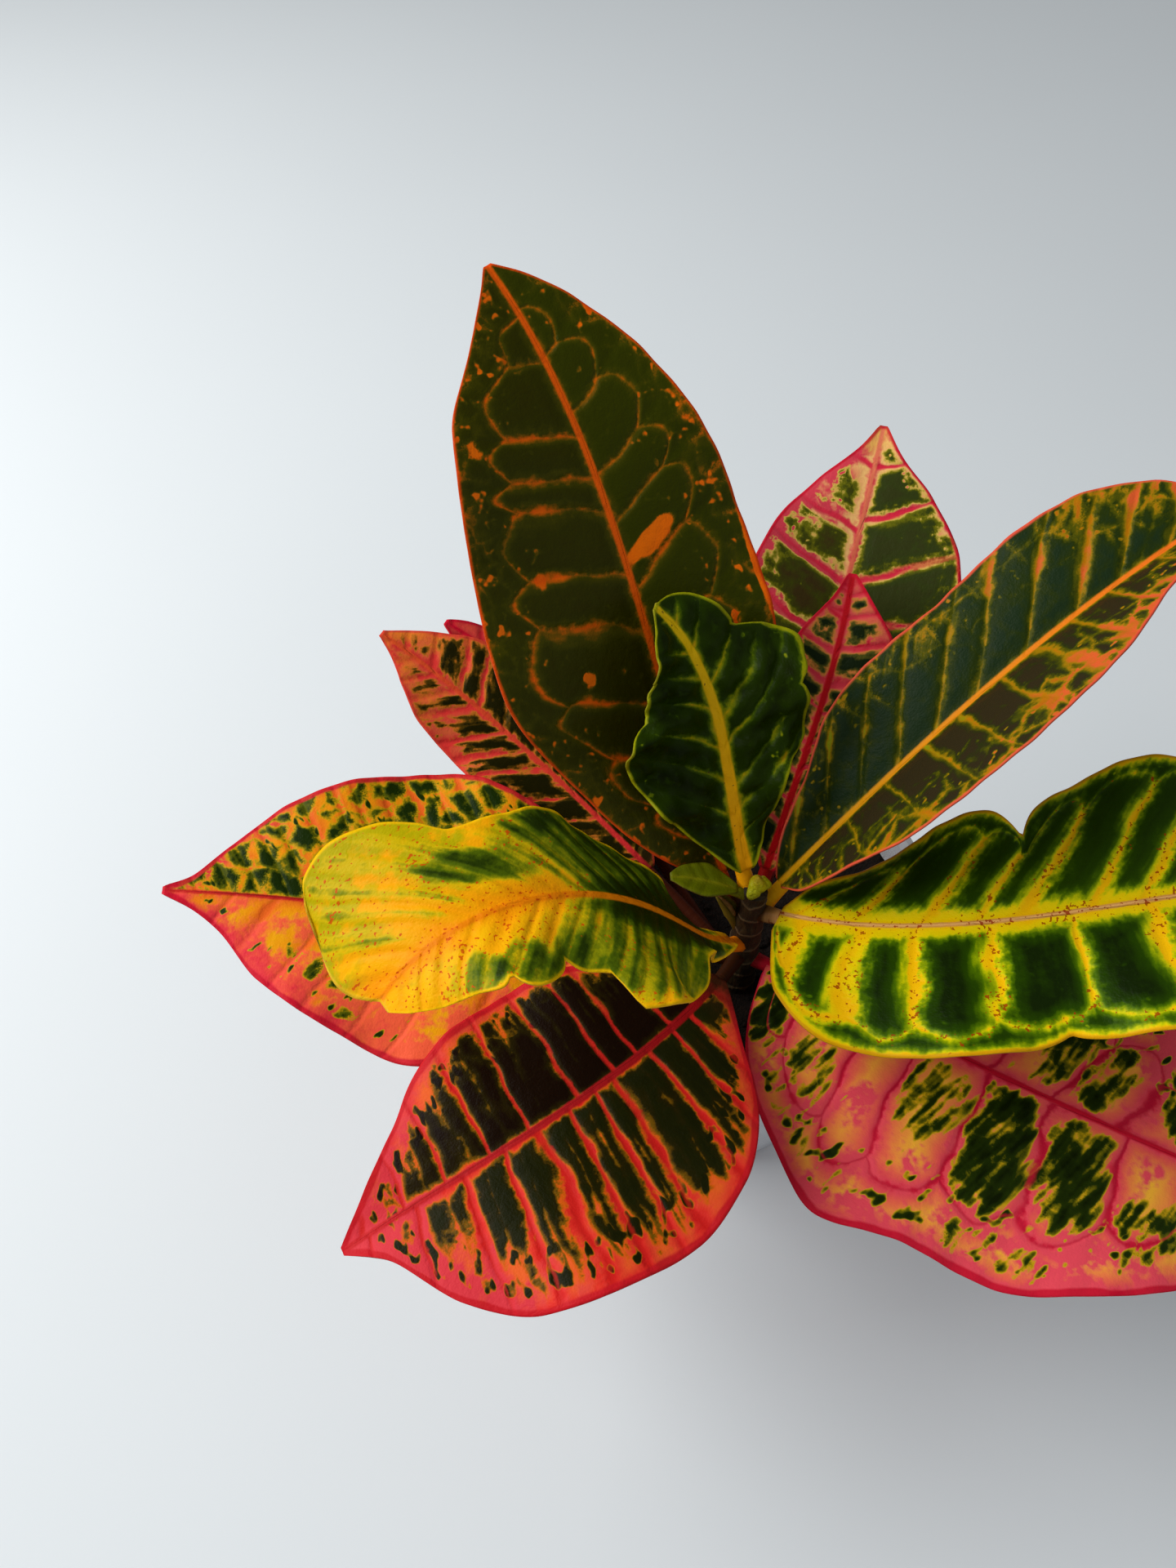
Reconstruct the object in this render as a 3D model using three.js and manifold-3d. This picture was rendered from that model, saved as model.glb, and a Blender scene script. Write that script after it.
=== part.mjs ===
// A potted croton: a light grey pot filled with soil, one short stem, a bud and fourteen leaves.
// Millimetres, +Z up. The origin is the centre of the pot's underside, and the pot stands on z = 0.

import * as THREE from "three";
import { mergeVertices } from "three/addons/utils/BufferGeometryUtils.js";
import Module from "manifold-3d";

const wasm = await Module();
wasm.setup();

// Pot
const POT_HEIGHT = 105;
const RIM_RADIUS = 60;
const RIM_DEPTH = 3;
const WALL_TOP_RADIUS = 58.6;
const FOOT_RADIUS = 43;
const WALL = 2.2;
const FLOOR = 4;
const CHANNEL = { inner: 17, outer: 35, depth: 2, slope: 1 };
const DRAIN_HOLES = { count: 6, radius: 4, circle: 26, sides: 16 };
const FOOT_BEVEL = 1;
const BEAD_SLOPE = 0.6;
const BEAD_BEVEL = 0.8;
const POT_SIDES = 48;

// Soil. Touching solids keep the gap between them, and a cutting form reaches past what it cuts.
const GAP = 0.3;
const OVERCUT = 2;
const SOIL_LEVEL = 93;
const SOIL_BUMP = 1.1;
const SOIL_RINGS = 6;
const SOIL_SIDES = 40;

// Stem
const STEM_AT = new THREE.Vector2(2, -20);
const STEM_FOOT = 40;
const STEM_STRAIGHT_TO = SOIL_LEVEL + 3;
const STEM_TOP = 142;
const STEM_RADIUS = 5.2;
const STEM_TIP_RADIUS = 3.3;
const STEM_CAP_SHARE = 0.8;
const SCAR_SPACING = 7;
const SCAR_DEPTH = 0.25;
const STEPS_PER_SCAR = 3;
const STEM_SIDES = 16;

// Bud: each knob's place beside the stem's axis, the height of its middle, its radius and half its height.
const BUD_KNOBS = [
  { x: 0, y: 0, middle: 2.6, radius: 2.4, reach: 3.4 },
  { x: 2.2, y: 1, middle: 2.2, radius: 1.9, reach: 2.3 },
  { x: -1.2, y: -1.8, middle: 1.8, radius: 1.7, reach: 2 },
];
const BUD_SIDES = 10;
const BUD_ROWS = 6;
const BUD_CUTTER = 20;

// Leaves
const BLADE = 0.8;
const RIB_WIDTH = 2.4;
const RIB_AT_BASE = 2.2;
const RIB_AT_TIP = 0.3;
const RIB_SHARE_MOST = 0.35;
const MIDDLE_SHARE = 0.62;
const NARROWEST = 0.8;
const NORMAL_STEP = 0.01;
const PETIOLE_RADIUS = 1.7;
const PETIOLE_STEP = 6;
const PETIOLE_ANGLES = [80, 52, 25, 0, -25, -52, -80];
const MIDRIB_STEPS = 48;
const SEAT_PASSES = 4;
const SEAT_GAP = 0.6;
const STATION_APART = 0.008;
const NOTCH_OFFSETS = [0, -1 / 3, 1 / 3, -1, 1];
const LEAF_ROUGHNESS = 0.4;
const MERGE_WITHIN = 1e-4;
const LEFT = 1;
const RIGHT = -1;
const BOTH = 0;

// Each leaf leaves the stem at a height. Its azimuth, counted from +X towards +Y, and its pitch, up from
// level, are given at the stem, halfway and at the tip. The blade's left half is the one on the left hand
// when looking from the stem to the tip. Roll turns the whole blade about its midrib, left side up. Fold
// lifts the left and the right half. An outline row holds the station along the blade, from 0 to 1, and
// the half-widths to the left and the right. A notch holds side, station, depth and reach. A wave of the
// edge holds side, size, count along the blade and phase. A sweep rounds one half's far end: it holds the
// side, how far it carries the blade forward and the power that keeps it near the tip.
const LEAVES = [
  {
    name: "leaf_tall_left", colour: 0x35381a, stations: 20,
    height: 122, azimuth: [131, 118, 134], pitch: [50, 50, 31], petiole: 18, length: 160,
    roll: -8, fold: [10, 10],
    outline: [[0, 2, 2], [0.06, 13, 12], [0.2, 27, 23], [0.42, 40, 31], [0.6, 37, 30],
      [0.8, 29, 22], [0.9, 16, 14], [0.96, 7, 7], [1, 1, 1]],
    notches: [],
    waves: [[BOTH, 1.5, 3, 0.1]],
  },
  {
    name: "leaf_crinkled", colour: 0x2c4a1c, stations: 22,
    height: 139, azimuth: [130, 112, 170], pitch: [56, 55, 44], petiole: 8, length: 74,
    roll: -6, fold: [10, 16],
    outline: [[0, 2, 2], [0.1, 8, 6], [0.2, 14, 10], [0.32, 20, 13], [0.45, 25, 21], [0.57, 26, 22],
      [0.64, 24, 24], [0.69, 18, 26], [0.75, 17, 21], [0.8, 16, 14], [0.87, 14, 11], [0.93, 10, 9],
      [0.97, 5, 6], [1, 1, 1]],
    notches: [[LEFT, 0.66, 3, 0.015], [LEFT, 0.8, 3, 0.012], [RIGHT, 0.6, 2, 0.015],
      [RIGHT, 0.8, 2, 0.015]],
    waves: [[BOTH, 3, 3.5, 0.2], [LEFT, 1.2, 7, 0.1]],
  },
  {
    name: "leaf_folded_right", colour: 0x2f3f2c, stations: 18,
    height: 130, azimuth: [27, 29, 22], pitch: [50, 38, 22], petiole: 12, length: 140,
    roll: -8, fold: [15, 35],
    outline: [[0, 2, 2], [0.05, 8, 12], [0.15, 15, 20], [0.3, 24, 31], [0.5, 25, 34],
      [0.65, 26, 31], [0.8, 24, 18], [0.92, 17, 9], [1, 1, 1]],
    notches: [],
    waves: [[LEFT, 1.5, 2.5, 0.3]],
  },
  {
    name: "leaf_lobed_right", colour: 0x4f6a1d, stations: 24,
    height: 134, azimuth: [328, 360, 364], pitch: [18, 16, -4], petiole: 8, length: 137,
    roll: 0, fold: [5, 5],
    outline: [[0, 2, 6], [0.05, 11, 24], [0.14, 17, 34], [0.3, 27, 36], [0.4, 31, 35],
      [0.55, 34, 33], [0.7, 37, 35], [0.85, 30, 28], [0.95, 14, 12], [1, 1, 1]],
    notches: [[LEFT, 0.46, 10, 0.03], [RIGHT, 0.46, 4, 0.04]],
    waves: [[LEFT, 2.5, 2.5, 0.4], [RIGHT, 2.5, 3.5, 0.1]],
  },
  {
    name: "leaf_yellow_left", colour: 0xc9a415, stations: 30,
    height: 118, azimuth: [230, 204, 220], pitch: [40, 50, -54], petiole: 10, length: 128,
    roll: 0, fold: [5, 5],
    outline: [[0, 2, 2], [0.1, 6, 4], [0.24, 10, 9], [0.31, 13, 11], [0.37, 22, 13], [0.46, 27, 18],
      [0.55, 31, 21], [0.6, 30, 22], [0.62, 20, 22], [0.68, 18, 21], [0.76, 21, 22], [0.8, 19, 27],
      [0.85, 15, 31], [0.91, 12, 33], [0.96, 8, 31], [1, 3, 21]],
    notches: [[LEFT, 0.68, 4, 0.012], [LEFT, 0.79, 4, 0.012]],
    waves: [[LEFT, 3, 4, 0.1], [RIGHT, 2, 3, 0.3]],
    sweep: [RIGHT, 6, 8],
  },
  {
    name: "leaf_low_left", colour: 0xc8572a, stations: 18,
    height: 107, azimuth: [180, 175, 180], pitch: [10, 7, 4], petiole: 25, length: 134,
    roll: -12, fold: [4, 4],
    outline: [[0, 2, 2], [0.1, 18, 20], [0.3, 36, 37], [0.45, 41, 42], [0.6, 35, 38],
      [0.78, 23, 27], [0.88, 10, 14], [0.95, 4, 4], [1, 1, 1]],
    notches: [],
    waves: [[BOTH, 2, 3, 0.2]],
  },
  {
    name: "leaf_low_front_left", colour: 0x8f2a22, stations: 18,
    height: 113, azimuth: [240, 215, 209], pitch: [12, -2, -18], petiole: 14, length: 118,
    roll: 0, fold: [5, 5],
    outline: [[0, 2, 2], [0.08, 13, 12], [0.2, 32, 25], [0.3, 41, 31], [0.42, 45, 34],
      [0.56, 43, 33], [0.7, 38, 29], [0.82, 26, 18], [0.92, 8, 8], [1, 1, 1]],
    notches: [],
    waves: [[BOTH, 2, 3, 0.45]],
  },
  {
    name: "leaf_low_front_right", colour: 0xcf4a52, stations: 20,
    height: 110, azimuth: [326, 331, 342], pitch: [8, 0, -10], petiole: 8, length: 150,
    roll: 0, fold: [0, -8],
    outline: [[0, 2, 4], [0.02, 7, 17], [0.06, 15, 29], [0.16, 32, 43], [0.27, 40, 53], [0.4, 43, 49],
      [0.53, 42, 48], [0.66, 36, 40], [0.78, 28, 29], [0.9, 13, 14], [0.96, 6, 6], [1, 1, 1]],
    notches: [],
    waves: [[BOTH, 2, 3, 0.2]],
  },
  {
    name: "leaf_back_left", colour: 0xb04a34, stations: 16,
    height: 103, azimuth: [136, 140, 152], pitch: [16, 19, 23], petiole: 36, length: 104,
    roll: -12, fold: [4, 4],
    outline: [[0, 2, 2], [0.15, 14, 14], [0.35, 19, 20], [0.6, 17, 18], [0.75, 15, 17],
      [0.85, 10, 12], [0.94, 4, 6], [1, 1, 1]],
    notches: [],
    waves: [[BOTH, 1.5, 2.5, 0.2]],
  },
  {
    name: "leaf_back_left_low", colour: 0x9c3f3a, stations: 16,
    height: 98, azimuth: [126, 127, 156], pitch: [11, 18, 18], petiole: 40, length: 98,
    roll: 0, fold: [4, 4],
    outline: [[0, 2, 2], [0.15, 12, 12], [0.4, 18, 18], [0.65, 16, 16], [0.85, 9, 9],
      [0.95, 4, 4], [1, 1, 1]],
    notches: [],
    waves: [[BOTH, 2, 3, 0.2]],
  },
  {
    name: "leaf_back_right", colour: 0xc45560, stations: 18,
    height: 108, azimuth: [66, 72, 74], pitch: [44, 38, 26], petiole: 30, length: 120,
    roll: 0, fold: [5, 5],
    outline: [[0, 2, 2], [0.15, 16, 16], [0.35, 24, 27], [0.55, 27, 31], [0.72, 23, 27],
      [0.85, 14, 17], [0.94, 5, 6], [1, 1, 1]],
    notches: [],
    waves: [[BOTH, 1.5, 3, 0.2]],
  },
  {
    name: "leaf_back_right_upper", colour: 0xa23b3c, stations: 16,
    height: 118, azimuth: [70, 66, 80], pitch: [54, 46, 36], petiole: 20, length: 80,
    roll: 0, fold: [5, 5],
    outline: [[0, 2, 2], [0.15, 8, 9], [0.4, 14, 18], [0.65, 14, 18], [0.8, 10, 14],
      [0.92, 4, 6], [1, 1, 1]],
    notches: [],
    waves: [[BOTH, 1.5, 3, 0.4]],
  },
  {
    name: "leaf_small", colour: 0x7fa02b, stations: 8,
    height: 140, azimuth: [180, 174, 184], pitch: [26, 15, 10], petiole: 5, length: 18,
    roll: 0, fold: [12, 12],
    outline: [[0, 1, 1], [0.2, 3, 3], [0.5, 5, 5], [0.8, 3.5, 3.5], [1, 1, 1]],
    notches: [],
    waves: [],
  },
  {
    name: "leaf_rolled", colour: 0x9a8c4a, stations: 8,
    height: 120, azimuth: [176, 176, 176], pitch: [66, 62, 66], petiole: 10, length: 10,
    roll: 0, fold: [60, 60],
    outline: [[0, 1, 1], [0.3, 2.4, 2.4], [0.7, 2, 2], [1, 1, 1]],
    notches: [],
    waves: [],
  },
];

const radians = THREE.MathUtils.degToRad;

function standard(colour, roughness) {
  return new THREE.MeshStandardMaterial({ color: colour, roughness, metalness: 0 });
}

// A geometry that holds positions alone, with shared corners merged.
function plain(geometry) {
  geometry.deleteAttribute("normal");
  geometry.deleteAttribute("uv");
  return mergeVertices(geometry, MERGE_WITHIN);
}

function toManifold(geometry) {
  const merged = plain(geometry);
  return new wasm.Manifold(new wasm.Mesh({
    numProp: 3,
    vertProperties: new Float32Array(merged.attributes.position.array),
    triVerts: new Uint32Array(merged.index.array),
  }));
}

function fromManifold(solid) {
  const mesh = solid.getMesh();
  const geometry = new THREE.BufferGeometry();
  geometry.setAttribute("position", new THREE.BufferAttribute(mesh.vertProperties, 3));
  geometry.setIndex(new THREE.BufferAttribute(mesh.triVerts, 1));
  geometry.computeVertexNormals();
  return geometry;
}

// Turns an outline of [radius, height] points about the Z axis.
function turned(outline, sides) {
  const points = outline.map(([radius, height]) => new THREE.Vector2(radius, height));
  return new THREE.LatheGeometry(points, sides).rotateX(Math.PI / 2);
}

function upright(radius, from, to, sides) {
  return turned([[0, from], [radius, from], [radius, to], [0, to]], sides);
}

// Radius of the pot's inner wall at a height above the floor.
function insideRadius(z) {
  const slope = (WALL_TOP_RADIUS - FOOT_RADIUS) / (POT_HEIGHT - RIM_DEPTH);
  return FOOT_RADIUS + slope * z - WALL;
}

// The pot: a tapered wall with a slim bead at the rim. A shallow ring channel with drain holes leaves
// the underside flat in the middle and along the foot.
function potGeometry() {
  const wall = turned([
    [0, 0],
    [CHANNEL.inner, 0],
    [CHANNEL.inner + CHANNEL.slope, CHANNEL.depth],
    [CHANNEL.outer - CHANNEL.slope, CHANNEL.depth],
    [CHANNEL.outer, 0],
    [FOOT_RADIUS - FOOT_BEVEL, 0],
    [FOOT_RADIUS, FOOT_BEVEL],
    [WALL_TOP_RADIUS, POT_HEIGHT - RIM_DEPTH],
    [RIM_RADIUS, POT_HEIGHT - RIM_DEPTH + BEAD_SLOPE],
    [RIM_RADIUS, POT_HEIGHT - BEAD_BEVEL],
    [RIM_RADIUS - BEAD_BEVEL, POT_HEIGHT],
    [RIM_RADIUS - WALL, POT_HEIGHT],
    [insideRadius(POT_HEIGHT - RIM_DEPTH), POT_HEIGHT - RIM_DEPTH],
    [insideRadius(FLOOR), FLOOR],
    [0, FLOOR],
  ], POT_SIDES);
  let pot = toManifold(wall);
  for (let hole = 0; hole < DRAIN_HOLES.count; hole += 1) {
    const turn = (hole * 2 * Math.PI) / DRAIN_HOLES.count;
    const bit = upright(DRAIN_HOLES.radius, -OVERCUT, FLOOR + OVERCUT, DRAIN_HOLES.sides);
    bit.translate(DRAIN_HOLES.circle * Math.cos(turn), DRAIN_HOLES.circle * Math.sin(turn), 0);
    pot = pot.subtract(toManifold(bit));
  }
  return fromManifold(pot);
}

// Height of the soil's uneven top.
function soilTop(x, y) {
  return SOIL_LEVEL + SOIL_BUMP * Math.sin(x / 6 + 1) * Math.cos(y / 7 - 0.5);
}

// The soil: a block that fills the pot, with a plain hole for the stem.
function soilGeometry() {
  const bottom = FLOOR + GAP;
  const edge = insideRadius(SOIL_LEVEL) - GAP;
  const outline = [[0, bottom], [insideRadius(bottom) - GAP, bottom]];
  for (let ring = SOIL_RINGS; ring >= 0; ring -= 1) {
    outline.push([(edge * ring) / SOIL_RINGS, SOIL_LEVEL]);
  }
  const block = turned(outline, SOIL_SIDES);
  const position = block.attributes.position;
  for (let i = 0; i < position.count; i += 1) {
    const x = position.getX(i);
    const y = position.getY(i);
    const onTop = position.getZ(i) > SOIL_LEVEL - GAP;
    if (onTop && Math.hypot(x, y) < edge - GAP) {
      position.setZ(i, soilTop(x, y));
    }
  }
  const hole = upright(STEM_RADIUS + GAP, STEM_FOOT - GAP, SOIL_LEVEL + OVERCUT, STEM_SIDES);
  hole.translate(STEM_AT.x, STEM_AT.y, 0);
  return fromManifold(toManifold(block).subtract(toManifold(hole)));
}

// Radius of the stem: straight in the soil, tapered and ringed with leaf scars above it.
function stemRadius(z) {
  const above = Math.max(0, z - STEM_STRAIGHT_TO);
  const taper = (STEM_RADIUS - STEM_TIP_RADIUS) / (STEM_TOP - STEM_STRAIGHT_TO);
  const scars = above > 0 ? SCAR_DEPTH * (Math.cos((2 * Math.PI * above) / SCAR_SPACING) - 1) : 0;
  return STEM_RADIUS - taper * above + scars;
}

function stemGeometry() {
  const outline = [[0, STEM_FOOT], [STEM_RADIUS, STEM_FOOT]];
  for (let z = STEM_STRAIGHT_TO; z < STEM_TOP; z += SCAR_SPACING / STEPS_PER_SCAR) {
    outline.push([stemRadius(z), z]);
  }
  outline.push([stemRadius(STEM_TOP) * STEM_CAP_SHARE, STEM_TOP], [0, STEM_TOP]);
  return turned(outline, STEM_SIDES).translate(STEM_AT.x, STEM_AT.y, 0);
}

// The bud: three small knobs grown together and cut flat where they sit on the tip of the stem.
function budGeometry() {
  const seat = STEM_TOP + GAP;
  let bud = null;
  for (const { x, y, middle, radius, reach } of BUD_KNOBS) {
    const knob = new THREE.SphereGeometry(radius, BUD_SIDES, BUD_ROWS).scale(1, 1, reach / radius);
    knob.translate(STEM_AT.x + x, STEM_AT.y + y, seat + middle);
    const solid = toManifold(knob);
    bud = bud ? bud.add(solid) : solid;
  }
  const below = upright(BUD_CUTTER, seat - BUD_CUTTER, seat, BUD_SIDES);
  below.translate(STEM_AT.x, STEM_AT.y, 0);
  return fromManifold(bud.subtract(toManifold(below)));
}

// Curve through three values at 0, a half and 1.
function through([start, middle, end], s) {
  return start * (1 - s) * (1 - 2 * s) + middle * 4 * s * (1 - s) + end * s * (2 * s - 1);
}

function direction(leaf, g) {
  const azimuth = radians(through(leaf.azimuth, g));
  const pitch = radians(through(leaf.pitch, g));
  return new THREE.Vector3(
    Math.cos(pitch) * Math.cos(azimuth),
    Math.cos(pitch) * Math.sin(azimuth),
    Math.sin(pitch),
  );
}

// Points along petiole and blade, from the stem's axis to the leaf's tip.
function midrib(leaf) {
  const step = (leaf.petiole + leaf.length) / MIDRIB_STEPS;
  const points = [new THREE.Vector3(STEM_AT.x, STEM_AT.y, leaf.height)];
  for (let i = 0; i < MIDRIB_STEPS; i += 1) {
    const way = direction(leaf, i / MIDRIB_STEPS).add(direction(leaf, (i + 1) / MIDRIB_STEPS));
    points.push(points[i].clone().addScaledVector(way.normalize(), step));
  }
  return points;
}

// Frame at a share of the whole midrib: place, way to the left and way up.
function frameAt(leaf, line, g) {
  const x = g * MIDRIB_STEPS;
  const i = Math.min(Math.floor(x), MIDRIB_STEPS - 1);
  const place = line[i].clone().lerp(line[i + 1], x - i);
  const azimuth = radians(through(leaf.azimuth, g));
  const left = new THREE.Vector3(-Math.sin(azimuth), Math.cos(azimuth), 0);
  const up = direction(leaf, g).cross(left);
  return { place, left, up };
}

// Half-width from the outline's rows: a cubic whose slopes are harmonic means, so it never overshoots.
function outlineWidth(rows, column, s) {
  const slope = (i) => (rows[i + 1][column] - rows[i][column]) / (rows[i + 1][0] - rows[i][0]);
  const last = rows.length - 1;
  const slopeAt = (i) => {
    if (i === 0) {
      return slope(0);
    }
    if (i === last) {
      return slope(last - 1);
    }
    const before = slope(i - 1);
    const after = slope(i);
    return before * after <= 0 ? 0 : (2 * before * after) / (before + after);
  };
  let i = 0;
  while (i < last - 1 && s > rows[i + 1][0]) {
    i += 1;
  }
  const reach = rows[i + 1][0] - rows[i][0];
  const u = Math.min(Math.max((s - rows[i][0]) / reach, 0), 1);
  return (2 * u ** 3 - 3 * u ** 2 + 1) * rows[i][column]
    + (u ** 3 - 2 * u ** 2 + u) * reach * slopeAt(i)
    + (3 * u ** 2 - 2 * u ** 3) * rows[i + 1][column]
    + (u ** 3 - u ** 2) * reach * slopeAt(i + 1);
}

function halfWidth(leaf, s, side) {
  let width = outlineWidth(leaf.outline, side === LEFT ? 1 : 2, s);
  for (const [where, at, depth, reach] of leaf.notches) {
    if (where === side) {
      width -= depth * Math.exp(-Math.abs(s - at) / reach);
    }
  }
  return Math.max(width, NARROWEST);
}

// How far the edge waves lift the blade, t being the share of the half-width.
function waveLift(leaf, s, t, side) {
  let lift = 0;
  for (const [where, size, count, phase] of leaf.waves) {
    if (where === BOTH || where === side) {
      lift += size * t * t * Math.sin(2 * Math.PI * (count * s + phase)) * Math.sqrt(Math.sin(Math.PI * s));
    }
  }
  return lift;
}

// How far a leaf's sweep carries a point of the blade forward.
function sweepForward(leaf, s, share, side) {
  if (!leaf.sweep) {
    return 0;
  }
  const [where, reach, power] = leaf.sweep;
  return where === side ? reach * s ** power * Math.sin(Math.PI * share) : 0;
}

// Point of the blade's upper face at station s, t running from -1 at the right edge to 1 at the left.
function bladePoint(leaf, line, s, t) {
  const g = (leaf.petiole + s * leaf.length) / (leaf.petiole + leaf.length);
  const { place, left, up } = frameAt(leaf, line, g);
  const side = t >= 0 ? LEFT : RIGHT;
  const share = Math.abs(t);
  const width = halfWidth(leaf, s, side) * share;
  const fold = radians(leaf.fold[side === LEFT ? 0 : 1]);
  const roll = radians(leaf.roll);
  const across = side * width * Math.cos(fold);
  const lift = width * Math.sin(fold) + waveLift(leaf, s, share, side);
  return place
    .addScaledVector(left, across * Math.cos(roll) - lift * Math.sin(roll))
    .addScaledVector(up, across * Math.sin(roll) + lift * Math.cos(roll))
    .addScaledVector(direction(leaf, g), sweepForward(leaf, s, share, side));
}

function bladeNormal(leaf, line, s, t) {
  const s0 = Math.max(s - NORMAL_STEP, 0);
  const s1 = Math.min(s + NORMAL_STEP, 1);
  const t0 = Math.max(t - NORMAL_STEP, -1);
  const t1 = Math.min(t + NORMAL_STEP, 1);
  const along = bladePoint(leaf, line, s1, t).sub(bladePoint(leaf, line, s0, t));
  const across = bladePoint(leaf, line, s, t1).sub(bladePoint(leaf, line, s, t0));
  return along.cross(across).normalize();
}

// Cross-section of the blade: upper points from the left edge to the right, and the lower ones under them.
function bladeSection(leaf, line, s) {
  const rib = RIB_AT_BASE + (RIB_AT_TIP - RIB_AT_BASE) * s;
  const ribShare = (side) => Math.min(RIB_WIDTH / halfWidth(leaf, s, side), RIB_SHARE_MOST);
  const shares = [1, MIDDLE_SHARE, ribShare(LEFT), 0, -ribShare(RIGHT), -MIDDLE_SHARE, -1];
  const upper = [];
  const lower = [];
  for (const t of shares) {
    const point = bladePoint(leaf, line, s, t);
    const normal = bladeNormal(leaf, line, s, t);
    const thickness = BLADE + (t === 0 ? rib : 0);
    upper.push(point);
    lower.push(point.clone().addScaledVector(normal, -thickness));
  }
  return { upper, lower };
}

// Cross-section of the petiole: a round one with as many points as the blade's.
function petioleSection(leaf, line, distance) {
  const { place, left, up } = frameAt(leaf, line, distance / (leaf.petiole + leaf.length));
  const radius = Math.min(PETIOLE_RADIUS, halfWidth(leaf, 0, LEFT));
  const upper = [];
  const lower = [];
  for (const angle of PETIOLE_ANGLES) {
    const aside = radius * Math.sin(radians(angle));
    const rise = radius * Math.cos(radians(angle));
    const middle = place.clone().addScaledVector(left, aside).addScaledVector(up, -radius);
    upper.push(middle.clone().addScaledVector(up, rise));
    lower.push(middle.clone().addScaledVector(up, -rise));
  }
  return { upper, lower };
}

// Slides the points of the petiole's first cross-section along its way until they lie on the stem.
function seatOnStem(leaf, section) {
  const way = direction(leaf, 0);
  const level = Math.hypot(way.x, way.y);
  for (const point of [...section.upper, ...section.lower]) {
    for (let pass = 0; pass < SEAT_PASSES; pass += 1) {
      const radius = stemRadius(Math.min(point.z, STEM_TOP)) + SEAT_GAP;
      const x = point.x - STEM_AT.x;
      const y = point.y - STEM_AT.y;
      const along = (x * way.x + y * way.y) / level;
      const aside = (x * way.y - y * way.x) / level;
      const needed = Math.sqrt(radius * radius - aside * aside);
      point.addScaledVector(way, (needed - along) / level);
    }
  }
}

// Stations along the blade: even ones, with finer ones round each notch in their place.
function bladeStations(leaf) {
  const stations = [];
  const add = (s) => {
    if (stations.every((other) => Math.abs(other - s) > STATION_APART)) {
      stations.push(s);
    }
  };
  add(0);
  add(1);
  for (const [, at, , reach] of leaf.notches) {
    for (const offset of NOTCH_OFFSETS) {
      add(at + offset * reach);
    }
  }
  for (let i = 1; i < leaf.stations; i += 1) {
    add(i / leaf.stations);
  }
  return stations.sort((a, b) => a - b);
}

// Joins cross-sections into one closed body. Both faces are split along the same diagonals.
function lofted(sections) {
  const width = sections[0].upper.length;
  const positions = [];
  for (const { upper, lower } of sections) {
    for (const point of [...upper, ...lower]) {
      positions.push(point.x, point.y, point.z);
    }
  }
  const upperAt = (i, j) => i * 2 * width + j;
  const lowerAt = (i, j) => i * 2 * width + width + j;
  const faces = [];
  const last = sections.length - 1;
  for (let i = 0; i < last; i += 1) {
    for (let j = 0; j < width - 1; j += 1) {
      faces.push(upperAt(i, j), upperAt(i, j + 1), upperAt(i + 1, j + 1));
      faces.push(upperAt(i, j), upperAt(i + 1, j + 1), upperAt(i + 1, j));
      faces.push(lowerAt(i, j), lowerAt(i + 1, j + 1), lowerAt(i, j + 1));
      faces.push(lowerAt(i, j), lowerAt(i + 1, j), lowerAt(i + 1, j + 1));
    }
    const r = width - 1;
    faces.push(upperAt(i, 0), upperAt(i + 1, 0), lowerAt(i + 1, 0));
    faces.push(upperAt(i, 0), lowerAt(i + 1, 0), lowerAt(i, 0));
    faces.push(upperAt(i, r), lowerAt(i + 1, r), upperAt(i + 1, r));
    faces.push(upperAt(i, r), lowerAt(i, r), lowerAt(i + 1, r));
  }
  for (let j = 0; j < width - 1; j += 1) {
    faces.push(upperAt(0, j), lowerAt(0, j + 1), upperAt(0, j + 1));
    faces.push(upperAt(0, j), lowerAt(0, j), lowerAt(0, j + 1));
    faces.push(upperAt(last, j), upperAt(last, j + 1), lowerAt(last, j + 1));
    faces.push(upperAt(last, j), lowerAt(last, j + 1), lowerAt(last, j));
  }
  const geometry = new THREE.BufferGeometry();
  geometry.setAttribute("position", new THREE.Float32BufferAttribute(positions, 3));
  geometry.setIndex(faces);
  geometry.computeVertexNormals();
  return geometry;
}

function leafGeometry(leaf) {
  const line = midrib(leaf);
  const way = direction(leaf, 0);
  const start = (stemRadius(leaf.height) + SEAT_GAP) / Math.hypot(way.x, way.y);
  const first = petioleSection(leaf, line, start);
  seatOnStem(leaf, first);
  const sections = [first];
  const spare = leaf.petiole - start;
  const pieces = Math.floor(spare / PETIOLE_STEP);
  for (let i = 1; i <= pieces; i += 1) {
    sections.push(petioleSection(leaf, line, start + (spare * i) / (pieces + 1)));
  }
  for (const s of bladeStations(leaf)) {
    sections.push(bladeSection(leaf, line, s));
  }
  return lofted(sections);
}

function named(name, geometry, material) {
  const mesh = new THREE.Mesh(geometry, material);
  mesh.name = name;
  return mesh;
}

const plant = new THREE.Group();
plant.add(named("pot", potGeometry(), standard(0xb9bcc0, 0.45)));
plant.add(named("soil", soilGeometry(), standard(0x2b2022, 0.95)));
plant.add(named("stem", stemGeometry(), standard(0x5d5a38, 0.75)));
plant.add(named("bud", budGeometry(), standard(0xa9c23a, 0.5)));
for (const leaf of LEAVES) {
  plant.add(named(leaf.name, leafGeometry(leaf), standard(leaf.colour, LEAF_ROUGHNESS)));
}

export default plant;
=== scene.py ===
"""Looks of a potted croton: broad wavy leaves with veins and blotches, a scarred stem, soil and a pot."""

import math
import random
from dataclasses import dataclass

import bmesh
import bpy
import numpy as np
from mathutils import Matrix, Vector, noise


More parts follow.
